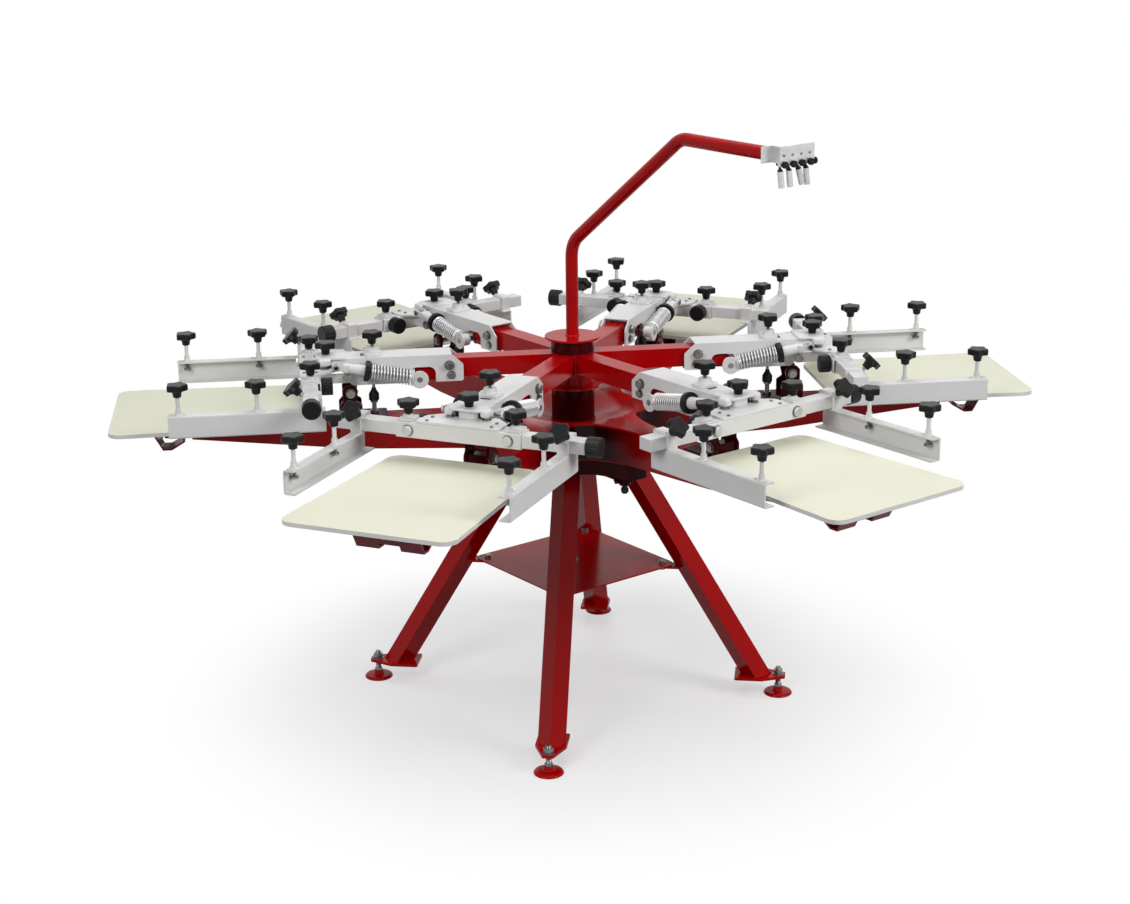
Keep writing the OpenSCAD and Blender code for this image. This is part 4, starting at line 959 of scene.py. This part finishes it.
@dataclass
class LowerCarousel:
    """The star, its register gates, stop posts and the six platens."""

    gate_r: float = 608.0
    gate_z: float = 840.0
    gate_h: float = 86.0
    gate_half: float = 34.0
    post_top: float = 917.7
    post_nut_drop: float = 48.0
    bumper_drop: float = 42.0
    platen_r: float = 691.0
    platen_l: float = 550.0
    platen_in: float = 398.0
    platen_out: float = 440.0
    platen_corner: float = 35.0
    platen_z: float = 862.0
    platen_t: float = 11.0
    face_t: float = 2.4
    skirt_z: float = 732.0
    shell_clear: float = 0.4
    drum_clear: float = 0.2
    dish_z: float = 803.0
    hub_d: float = 117.6
    hub_top: float = 890.6
    pin_top: float = 686.0
    pull_z: float = 635.0

    def build(self) -> None:
        """Dresses the lower carousel."""
        body = "lower_carousel"
        shell = Solid.copied("star", 0, joined=False).sliced(self.skirt_z + self.shell_clear, above=True).rounded(1.6)
        # The star's shell carries painted shade on its hollow walls.
        Piece("star_shell", body, STAR_COAT_PAINTED_SHADE, [shell]).lay(stands_for=["star"])
        drum = Solid.copied("star", 0, joined=False).sliced(self.skirt_z + self.drum_clear)
        hub = Solid.rod(self.hub_d, self.hub_top - self.dish_z, edge=0.6, sides=64).move(z=self.dish_z)
        # Painted shade: the drum under the star's skirt and the lower hub get the darkened red coat.
        Piece("star_drum", body, RED_COAT_IN_PAINTED_SHADE, [drum, hub]).lay()
        Piece("index_plunger", "index_pin", BLACK_PLASTIC, [self._plunger()]).lay(BOOM_ANGLE, ["index_pin"])
        gate, bolts, studs, bumpers = self._gate(), self._gate_bolts(), self._stop_stud(), self._bumper()
        for tag, turn in stations():
            # Painted shade: the gate plates get the darkened red coat.
            Piece(f"gate_plates_{tag}", body, RED_COAT_IN_PAINTED_SHADE, [gate]).lay(turn, ["gates"] if tag == 1 else [])
            Piece(f"gate_bolts_{tag}", body, ZINC_STEEL, [bolts]).lay(turn, ["gate_bolts"] if tag == 1 else [])
            Piece(f"stop_stud_{tag}", body, ZINC_STEEL, [studs]).lay(turn)
            Piece(f"stop_bumper_{tag}", body, BLACK_PLASTIC, [bumpers]).lay(turn, ["stop_posts"] if tag == 1 else [])
            self._platen(tag, turn)

    def _plunger(self) -> Solid:
        """Makes the index pin with its hexagonal pull."""
        low, top = self.pull_z, self.pin_top
        pin = Solid.rod(INDEX_D, top - low - 1, edge=1.2).move(z=low + 1)
        pull = Solid.hexagon(20, 12, edge=1.6).add(Solid.rod(17, 4, 12, edge=0.8).turn(180, "X"))
        return pin.add(pull.move(z=low + 4)).move(INDEX_R)

    def _gate(self) -> Solid:
        """Makes a register gate: a base and two cheeks with worn corners."""
        x, z = self.gate_r, self.gate_z
        base = Solid.plate(soft(rect(x - 98, x + 32, -42, 42), 8), 6, 1.0).move(z=z - 6)
        outline = [
            (x - 30, z - 0.2), (x + 32, z - 0.2), (x + 32, z + 30), (x + 22, z + 42), (x + 22, z + 76),
            (x + 12, z + self.gate_h), (x - 12, z + self.gate_h), (x - 20, z + 70), (x - 14, z + 44), (x - 30, z + 34),
        ]
        cheek = side(soft(outline, [0, 0, 8, 5, 10, 8, 8, 10, 5, 8], 4), self.gate_half - 8, self.gate_half, 1.2)
        web = Solid.box((x - 8, x + 26), (8 - self.gate_half, self.gate_half - 8), (z - 0.2, z + 34), 1.5)
        return base.add(cheek.both(), web)

    def _gate_bolts(self) -> Solid:
        """Makes the two bolts of a gate."""
        made = Solid()
        for share in (0.25, 0.75):
            head = Solid.headed(26, 2, 20, 7).move(z=self.gate_half)
            pair = head.turn(-90, "X").both()
            rod = Solid.rod(12, 2 * self.gate_half, edge=0).move(z=-self.gate_half).turn(90, "X")
            made.add(pair.add(rod).move(self.gate_r, 0, self.gate_z + self.gate_h * share))
        return made

    def _stop_stud(self) -> Solid:
        """Makes the stud and nuts of a stop post."""
        made = Solid.hexagon(22, 8).move(z=self.gate_z)
        made.add(Solid.thread(13, 36).move(z=self.gate_z + 8))
        made.add(Solid.hexagon(20, 6).move(z=self.post_top - self.post_nut_drop))
        made.add(Solid.rod(8, 8, edge=1.5).move(z=self.post_top - 8))
        return made.move(SCREW_R)

    def _bumper(self) -> Solid:
        """Makes the black bumper of a stop post."""
        foot = self.post_top - self.bumper_drop
        return Solid.spun(
            [(0, foot), (13, foot), (14, foot + 1), (14, foot + 17), (13, foot + 18.6), (7, foot + 29), (6, foot + 31),
             (5.6, foot + 35), (0, foot + 35)], 40
        ).move(SCREW_R)

    def _platen(self, tag: int, turn: float) -> None:
        """Makes a platen: an ivory face on a white board, over its wine-red carrier."""
        body = f"platen_{tag}"
        x0, x1 = self.platen_r, self.platen_r + self.platen_l
        half_in, half_out = self.platen_in / 2, self.platen_out / 2
        outline = soft([(x0, -half_in), (x1, -half_out), (x1, half_out), (x0, half_in)], self.platen_corner, 10)
        board = Solid.plate(outline, self.platen_t - self.face_t, 0.8).move(z=self.platen_z)
        face = Solid.plate(outline, self.face_t, 0.9).move(z=self.platen_z + self.platen_t - self.face_t)
        Piece(f"{body}_face", body, IVORY_BOARD, [face]).lay(turn)
        Piece(f"{body}_board", body, WHITE_COAT, [board]).lay(turn)
        carrier = Solid.copied(body, 0).sliced(self.platen_z - 0.01).rounded(0.8)
        Piece(f"{body}_carrier", body, WINE_COAT, [carrier]).lay(0.0, [body])


@dataclass
class PrintHead:
    """A head's channel, nose, sleeve, lugs, screws, spring cups and springs."""

    top: float = 1003.0
    low: float = 929.0
    wall_end: float = 655.0
    half: float = 40.0
    wall: float = 4.0
    screw_tip: float = 918.0
    tongue_r: float = 670.0
    sleeve: Point = (687.0, 741.0)
    sleeve_half: float = 167.0
    sleeve_z: Point = (935.0, 975.0)
    sleeve_wall: float = 3.6
    knob_y: float = 144.0
    register_y: float = 133.0
    register_z: float = 955.0
    flange_t: float = 6.0
    washer_t: float = 1.6
    gap: float = 0.3
    lug_y: float = 58.0
    lug_t: float = 6.0
    lug_tip: float = 604.0
    front: Point = (645.0, 990.0)
    coil_start: float = 20.3
    coil_l: float = 112.0
    coil_d: float = 46.0
    wire: float = 4.2
    coil_turns: float = 11.5
    coil_steps: int = 20
    cup_t: float = 15.0

    def build(self) -> None:
        """Dresses the six heads."""
        parts: list[tuple[str, Finish, list[Solid]]] = [
            ("shell", WHITE_COAT, [self._channel(), self._nose(), self._sleeve(), self._lugs(), self._struts()]),
            ("knobs", BLACK_PLASTIC, self._knobs()),
            ("screws", ZINC_STEEL, self._screws()),
            ("caps", GREY_ALLOY, self._caps()),
        ]
        coil, guide = self._coil(), self._guide()
        for tag, turn in stations():
            head = f"head_{tag}"
            for name, finish, solids in parts:
                Piece(f"{head}_{name}", head, finish, solids).lay(turn, [head] if name == "shell" else [])
            self._spring(f"spring_{tag}_coils", tag, turn, coil, SPRING_STEEL)
            self._spring(f"spring_{tag}_guides", tag, turn, guide, ZINC_STEEL)

    def _spring(self, name: str, tag: int, turn: float, solid: Solid, finish: Finish) -> None:
        """Lays a springy piece between its arm and its head, on no body, with its place baked into its mesh.

        Args:
            name: The piece's name.
            tag: Number of the station.
            turn: Degrees that the station is turned.
            solid: The piece at the first station.
            finish: Its finish.
        """
        made = Piece(name, f"head_{tag}", finish, [solid]).lay(turn, [f"springs_{tag}"], rides=False)
        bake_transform(made)

    @property
    def _middle(self) -> float:
        """Where the middle of the sleeve lies along the arm."""
        return sum(self.sleeve) / 2

    @property
    def _flange_top(self) -> float:
        """Height of the top of the flange on the sleeve."""
        return self.sleeve_z[1] + self.flange_t

    def _on_spring(self, solid: Solid) -> Solid:
        """Puts a solid drawn along x from the pivot on both of a head's springs."""
        x, z = SPRING_PIVOT
        lean = math.degrees(math.atan2(self.front[1] - z, self.front[0] - x))
        return solid.turn(-lean, "Y").move(x, SPRING_Y, z).both()

    def _channel(self) -> Solid:
        """Makes the folded channel with its notches."""
        nose_x = self.wall_end + 27
        outline = [
            (CHANNEL_REAR, self.low), (self.wall_end - 50, self.low), (self.wall_end - 30, self.low + 37),
            (nose_x, self.top), (CHANNEL_REAR + 30, self.top), (CHANNEL_REAR, self.top - 28),
        ]
        block = side(soft(outline, [6, 14, 10, 0, 14, 8], 5), -self.half, self.half, 0)
        fold = [
            e for e in block.bm.edges
            if all(abs(v.co.z - self.top) < TOUCH for v in e.verts)
            and abs(abs(e.verts[0].co.y) - self.half) < TOUCH and abs(e.verts[0].co.y - e.verts[1].co.y) < TOUCH
        ]
        block.bevelled(fold, 5, 4)
        inner = self.half - self.wall
        hollow = Solid.box((CHANNEL_REAR - 5, nose_x + 60), (-inner, inner), (self.low - 5, self.top - self.wall), 0)
        mouth = Solid.box((CHANNEL_REAR - 5, CHANNEL_REAR + 30), (-inner, inner), (self.low - 5, self.top + 5), 0)
        notch = side(soft(rect(378, 448, self.low - 20, self.low + 42), [0, 0, 18, 18]), -60, 60, 0)
        return block.cut(hollow, mouth, notch).rounded(0.7, 2, least=55)

    def _nose(self) -> Solid:
        """Makes the nose plate, its lozenge, the flange and the off-contact pad."""
        x0, x1 = self.wall_end - 35, self.wall_end + 43
        plate = Solid.plate(soft(rect(x0, x1, -48, 48), [6, 18, 18, 6], 8), 6, 1.4, 3).move(z=self.top)
        lozenge = Solid.plate(soft(rect(-13, 13, -27, 27), 12.9, 8), 18, 1.0).move(self.tongue_r, 0, self._flange_top)
        sleeve_in, sleeve_out = self.sleeve
        flange = Solid.plate(
            soft([(640, -58), (sleeve_in, -110), (sleeve_out, -110), (sleeve_out, 110), (sleeve_in, 110), (640, 58)],
                 [6, 20, 3, 3, 20, 6]), self.flange_t, 1.0
        ).move(z=self.sleeve_z[1])
        pad = Solid.plate(soft(rect(-22, 22, -30, 30), 9, 6), 9, 2.2, 3).move(SCREW_R, 0, self.top)
        boss = Solid.spun([(0, 0), (20, 0), (18, 2), (17, 5), (17, 11), (15.6, 12.8), (0, 13)], 40)
        ear = Solid.box((x1 - 40, x1 - 6), (37, 60), (self.top - 15, self.top + 5.4), 7.5, 4).both()
        return plate.add(lozenge, flange, pad, ear, boss.move(SCREW_R, 0, self.top + 9))

    def _sleeve(self) -> Solid:
        """Makes the tube that the cross bar slides in, with its two collars."""
        (x0, x1), (z0, z1) = self.sleeve, self.sleeve_z
        t = self.sleeve_wall
        tube = Solid.box((x0, x1), (-self.sleeve_half, self.sleeve_half), (z0, z1), 0)
        long = [e for e in tube.bm.edges if abs(e.verts[0].co.y - e.verts[1].co.y) > 1]
        tube.bevelled(long, 4, 4)
        bore = Solid.box((x0 + t, x1 - t), (-200, 200), (z0 + t, z1 - t), 0)
        tube.cut(bore).rounded(0.5, 2, least=60)
        collar = Solid.box((x0 + 4, x1 - 4), (self.knob_y - 19, self.knob_y + 19), (z1, z1 + 7), 2.2, 3)
        collar.add(Solid.rod(34, 7, 22, edge=1).move(self._middle, self.knob_y, z1 + 6.4))
        return tube.add(collar.both())

    def _lugs(self) -> Solid:
        """Makes the lugs that drop beside the register gate."""
        outline = soft(rect(self.lug_tip, self.sleeve[0] + 2, 943, 969), [9, 2, 2, 9])
        return side(outline, self.lug_y, self.lug_y + self.lug_t, 0.8).both()

    def _struts(self) -> Solid:
        """Makes the tapered struts with their forks, in front of the springs."""
        start = self.coil_start + self.coil_l + self.gap + self.cup_t
        run = (Vector(self.front) - Vector(SPRING_PIVOT)).length
        cone = Solid.rod(32, run - 18 - start, 24, edge=1.6, steps=3).move(z=start).turn(90, "Y")
        for y in (-15, 11):
            cone.add(side(soft(rect(run - 32, run + 12, -8, 8), 7.9), y, y + 4, 0.6))
        cone.add(Solid.box((run - 34, run - 22), (-14, 14), (-11, 11), 2.5, 3))
        return self._on_spring(cone)

    def _knobs(self) -> list[Solid]:
        """Makes the black pieces of a head: knobs, spring cups, a block in the gap under the nose plate, and a thin
        sheet painted as the shade of the slot under the pad.
        """
        star = KNOBS.star()
        pair = star.copy().turn(14).move(self._middle, self.knob_y, self.sleeve_z[1] + 16).both()
        rim = [(0, 0), (24, 0), (24, 3), (27.4, 3), (28, 3.6), (28, 14), (27, self.cup_t), (0, self.cup_t)]
        cup = Solid.spun(rim, 44)
        cup = self._on_spring(cup.move(z=self.coil_start + self.coil_l + self.gap).turn(90, "Y"))
        knob = KNOBS.round().turn(-90, "Y").move(self.sleeve[0] - self.gap, self.register_y, self.register_z)
        # Painted shade: a thin black sheet on the channel's top stands for the dark slot under the pad.
        slot = Solid.plate(soft(rect(-4.5, 4.5, -15, 15), 4.4), 0.7, 0.2).move(SCREW_R + 28.5, 0, self.top - 0.3)
        # A black block fills the dark gap between the nose plate and the flange.
        seat = Solid.box((634, self.tongue_r + 4), (4 - self.half, self.half - 4), (981.2, self.top - 0.4), 1.5)
        return [
            pair, cup, knob.both(), slot, seat,
            star.copy().turn(25).move(SCREW_R, 0, self.top + 30),
            star.copy().turn(8).move(self.tongue_r, 0, self.top + 6),
        ]

    def _screws(self) -> list[Solid]:
        """Makes the bright screws of a head."""
        stems = Solid.thread(10, 9).move(self._middle, self.knob_y, self.sleeve_z[1] + 8).both()
        y, z = self.register_y, self.register_z
        heads = Solid.rod(29, self.washer_t, edge=0.4).turn(90, "Y").move(self.sleeve[1], y, z).both()
        shafts = Solid.thread(10, 20, 1.6).turn(-90, "Y").move(self.sleeve[0] + 8, y, z).both()
        off_contact = Solid.thread(10, 81).move(SCREW_R, 0, self.screw_tip)
        off_contact.add(Solid.thread(10, 9).move(SCREW_R, 0, self.top + 22))
        bolt = Solid.headed(24, self.washer_t, 17, 6).add(Solid.rod(11, 14, edge=0).move(z=-14))
        bolts = bolt.turn(-90, "X").move(HINGE[0] - 5, self.half, HINGE[1] - 27).both()
        lug = Solid.rod(23, 7.8, edge=1.2, steps=3).turn(-90, "X")
        lug.move(self.lug_tip + 13, self.lug_y + self.lug_t, 956).both()
        pin = Solid.rod(10, 46, edge=0.8).turn(-90, "X").move(self.front[0], self.half, self.front[1])
        pin.add(Solid.hexagon(15, 5).turn(-90, "X").move(self.front[0], 81, self.front[1]))
        small = Solid.rod(9, 3.4, edge=0.8, sides=24)
        tops = [small.copy().move(self._middle + x, y, self._flange_top) for x in (-16, 16) for y in (-86, 86)]
        post = Solid.rod(24, 2.4, edge=0.6).add(Solid.rod(15, 8, edge=0.6))
        post.move(self.wall_end + 20, 49, self._flange_top).both()
        return [stems, heads, shafts, off_contact, bolts, lug, pin.both(), post, *tops]

    def _caps(self) -> list[Solid]:
        """Makes the pale round heads of the register screws."""
        cap = Solid.rod(24.5, 8, edge=1.4, steps=3).turn(90, "Y")
        return [cap.move(self.sleeve[1] + self.washer_t, self.register_y, self.register_z).both()]

    def _coil(self) -> Solid:
        """Makes both springs of a head, with close turns at the ends."""
        made = Solid()
        r = (self.coil_d - self.wire) / 2
        bmesh.ops.create_circle(made.bm, segments=10, radius=self.wire / 2)
        bmesh.ops.translate(made.bm, vec=(0, r, 0), verts=made.bm.verts)
        bmesh.ops.rotate(made.bm, cent=(0, r, 0), matrix=Matrix.Rotation(math.radians(4), 3, "Y"), verts=made.bm.verts)
        bmesh.ops.translate(made.bm, vec=(self.wire / 2 + 0.2, 0, 0), verts=made.bm.verts)
        close = self.wire + self.gap
        wide = (self.coil_l - self.wire - 2 * close - 0.4) / self.coil_turns
        geom: list = [*made.bm.verts, *made.bm.edges]
        for turns, rise in ((1.0, close), (self.coil_turns, wide), (1.0, close)):
            geom = bmesh.ops.spin(
                made.bm, geom=geom, cent=(0, 0, 0), axis=(1, 0, 0), dvec=(rise / self.coil_steps, 0, 0),
                angle=2 * math.pi * turns, steps=int(turns * self.coil_steps), use_merge=False,
            )["geom_last"]
        bmesh.ops.holes_fill(made.bm, edges=[e for e in made.bm.edges if e.is_boundary])
        bmesh.ops.recalc_face_normals(made.bm, faces=made.bm.faces)
        return self._on_spring(made.move(self.coil_start))

    def _guide(self) -> Solid:
        """Makes the rods inside a head's springs."""
        return self._on_spring(Solid.rod(12, self.coil_l - 1, edge=0.5).move(z=self.coil_start + 0.5).turn(90, "Y"))


@dataclass
class UpperCarousel:
    """The hub, its six arms, the hinge bolts and the spring pivots."""

    hinge_half: float = 40.6
    head_y: float = 40.3
    spacer_y: float = 27.5
    spacer_t: float = 8.2
    pivot_end: float = 85.0
    disc_y: float = 80.0
    disc_t: float = 3.8
    lean: float = 10.76
    hub_r: float = 58.9
    disc_top: float = 899.0
    disc_r: float = 78.8
    arm_z: float = 937.0
    arm_top: float = 989.0

    def build(self) -> None:
        """Dresses the upper carousel."""
        body = "upper_carousel"
        arms = Solid.copied("head_arms", 1.2).sliced(self.arm_top + 0.4).cut(*self._under_arms())
        bmesh.ops.remove_doubles(arms.bm, verts=arms.bm.verts, dist=COPY_MERGE)
        Piece("arm_hub", body, RED_COAT, [arms]).lay(stands_for=["head_arms"])
        collar = Solid.copied("head_arms", 0).sliced(self.arm_top + 0.6, above=True).rounded(0.8)
        # Painted shade: the collar above the arms gets the darkened red coat, for the shadow under the cap.
        Piece("hub_collar", body, RED_COAT_IN_PAINTED_SHADE, [collar]).lay()
        bolts, eyes = self._bolts(), self._eyes()
        for tag, turn in stations():
            Piece(f"hinge_bolts_{tag}", body, ZINC_STEEL, [bolts]).lay(turn, ["pivot_bolts"] if tag == 1 else [])
            Piece(f"spring_eyes_{tag}", body, WHITE_COAT, [eyes]).lay(turn)

    def _under_arms(self) -> tuple[Solid, Solid]:
        """Gives the rings that free the space under the arms, up to the prongs of the spring pivots."""
        low, step, over, inner, outer = self.arm_z - 70, self.disc_top + 0.2, self.arm_z, self.hub_r, CHANNEL_REAR
        near = [(inner, step), (self.disc_r, step), (self.disc_r, low), (outer, low), (outer, over), (inner, over)]
        far = [(outer - 6, low), (SPRING_PIVOT[0], low), (SPRING_PIVOT[0], over - 5), (outer - 6, over - 5)]
        return Solid.spun([*near, near[0]], 72), Solid.spun([*far, far[0]], 72)

    def _bolts(self) -> Solid:
        """Makes the hinge bolt and the bolts of the spring pivots."""
        x, z = HINGE
        hinge = Solid.headed(27.6, 2.4, 21, 9, 0.6).turn(-90, "X").move(x, self.head_y, z)
        hinge.add(Solid.rod(27, self.spacer_t, edge=0.5).turn(-90, "X").move(x, self.spacer_y, z)).both()
        hinge.add(Solid.rod(16, 2 * self.hinge_half, edge=0).move(z=-self.hinge_half).turn(90, "X").move(x, 0, z))
        px, pz = SPRING_PIVOT
        pin = Solid.rod(16, 2 * self.pivot_end - 12, edge=0).move(z=6 - self.pivot_end).turn(90, "X").move(px, 0, pz)
        face = Solid.hexagon(15, 5.4, edge=0.8).turn(-90, "X").move(px, self.pivot_end - 5.4, pz)
        return hinge.add(pin, face.both())

    def _eyes(self) -> Solid:
        """Makes the discs, eyes and seats at the rear of the springs."""
        px, pz = SPRING_PIVOT
        disc = Solid.rod(48, self.disc_t, edge=0.9, sides=56, steps=3).turn(-90, "X").move(px, self.disc_y, pz)
        eye = Solid.rod(34, 26, edge=1.0).move(z=-13).turn(90, "X")
        seat = Solid.rod(46, 3, edge=0.6).move(z=17).turn(90, "Y")
        neck = Solid.rod(22, 10, edge=0).move(z=8).turn(90, "Y")
        eye.add(seat, neck).turn(-self.lean, "Y").move(px, SPRING_Y, pz)
        return disc.add(eye).both()


@dataclass
class CrossBar:
    """The bars that slide across the heads, and the clamps for the screen frame."""

    bar_x: Point = (695.6, 737.1)
    bar_z: Point = (938.9, 971.1)
    bar_y: Point = (-340.0, 330.0)
    clamp_x: Point = (680.0, 1080.0)
    clamp_y: Point = (260.0, 290.0)
    clamp_z: Point = (876.0, 936.0)
    wall: float = 4.0
    block_y: Point = (262.0, 290.0)
    block_top: float = 979.1
    knob_rise: float = 47.0
    pad_drop: float = 22.0
    block_over: float = 8.0
    block_gap: float = 0.3
    screws_x: Point = (854.0, 1053.0)

    def build(self) -> None:
        """Dresses the cross bars and the frame clamps."""
        bar = Solid.box(self.bar_x, self.bar_y, self.bar_z, 2.0, 3)
        end = KNOBS.round(50, 35).turn(-90, "X").move(sum(self.bar_x) / 2, self.bar_y[1], sum(self.bar_z) / 2)
        white, black, zinc = self._clamp()
        for tag, turn in stations():
            name = f"cross_bar_{tag}"
            Piece(f"{name}_tube", name, WHITE_COAT, [bar]).lay(turn, [name])
            Piece(f"{name}_knob", name, BLACK_PLASTIC, [end]).lay(turn)
            for hand in ("left", "right"):
                body = f"{hand}_clamp_{tag}"
                solids = [s.copy() if hand == "left" else s.copy().mirror() for s in (white, black, zinc)]
                Piece(f"{body}_rail", body, WHITE_COAT, [solids[0]]).lay(turn, [body])
                Piece(f"{body}_knobs", body, BLACK_PLASTIC, [solids[1]]).lay(turn)
                Piece(f"{body}_screws", body, ZINC_STEEL, [solids[2]]).lay(turn)

    def _clamp(self) -> tuple[Solid, Solid, Solid]:
        """Makes a clamp on the left of its head.

        Returns:
            Its white, black and bright parts.
        """
        (x0, x1), (y0, y1), (z0, z1) = self.clamp_x, self.clamp_y, self.clamp_z
        t, bend = self.wall, 5.0
        profile = [
            (y0, z0), (y1, z0), (y1, z1), (y0, z1), (y0, z1 - t), (y1 - t, z1 - t), (y1 - t, z0 + t), (y0, z0 + t),
        ]
        rail = along(soft(profile, [0, bend, bend, 0, 0, 1, 1, 0], 4), x0, x1, 0.5)
        white = rail.add(self._block())
        black, zinc = Solid(), Solid()
        star = KNOBS.star()
        middle = (y0 + y1) / 2
        for k, x in enumerate(self.screws_x):
            boss = Solid.spun([(0, 0), (11, 0), (11, 2), (8, 3.4), (7.6, 15), (6.6, 16), (0, 16)], 32)
            sleeve = Solid.rod(10.6, 31, edge=0.6).move(z=16)
            white.add(boss.add(sleeve).move(x, middle, z1))
            black.add(star.copy().turn(10 + 25 * k).move(x, middle, z1 + self.knob_rise))
            zinc.add(Solid.rod(20, 6, edge=1.0).move(x, middle, z1 - t - self.pad_drop))
            zinc.add(Solid.thread(10, 17, 1.6).move(x, middle, z1 - t - self.pad_drop + 5.5))
            for dx in (-17, 17):
                white.add(Solid.rod(7, 2.6, edge=0.8, sides=20).move(x + dx, middle + 3, z1))
        tip = (self.bar_x[1] + self.block_over - 7, sum(self.block_y) / 2, self.block_top - 7)
        black.add(star.copy().move(z=8).turn(45, "Y").move(*tip))
        zinc.add(Solid.rod(10, 10, edge=0.4).move(z=-1).turn(45, "Y").move(*tip))
        return white, black, zinc

    def _block(self) -> Solid:
        """Makes the block that slides on the cross bar."""
        x0, x1 = self.bar_x[0] - self.block_over, self.bar_x[1] + self.block_over
        top, chamfer = self.block_top, 14
        outline = [(x0, self.clamp_z[1]), (x1, self.clamp_z[1]), (x1, top - chamfer), (x1 - chamfer, top), (x0, top)]
        block = side(soft(outline, [0, 0, 2, 2, 5]), *self.block_y, 0)
        across, up = ((low - self.block_gap, high + self.block_gap) for low, high in (self.bar_x, self.bar_z))
        return block.cut(Solid.box(across, (200, 350), up, 0)).rounded(1.0, 2, least=40)


def main() -> None:
    """Builds the studio and every sub-assembly, in order."""
    logging.basicConfig(level=logging.INFO, format="%(message)s")
    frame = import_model()
    Studio().build()
    for finish in FINISHES:
        finish.build()
    bearings = frame["nodes"]["bearings"].data
    bearings.materials.clear()
    bearings.materials.append(bpy.data.materials[ZINC_STEEL.title])
    for assembly in (Stand(), LampBoom(), LowerCarousel(), UpperCarousel(), PrintHead(), CrossBar()):
        assembly.build()


if __name__ == "__main__":
    main()
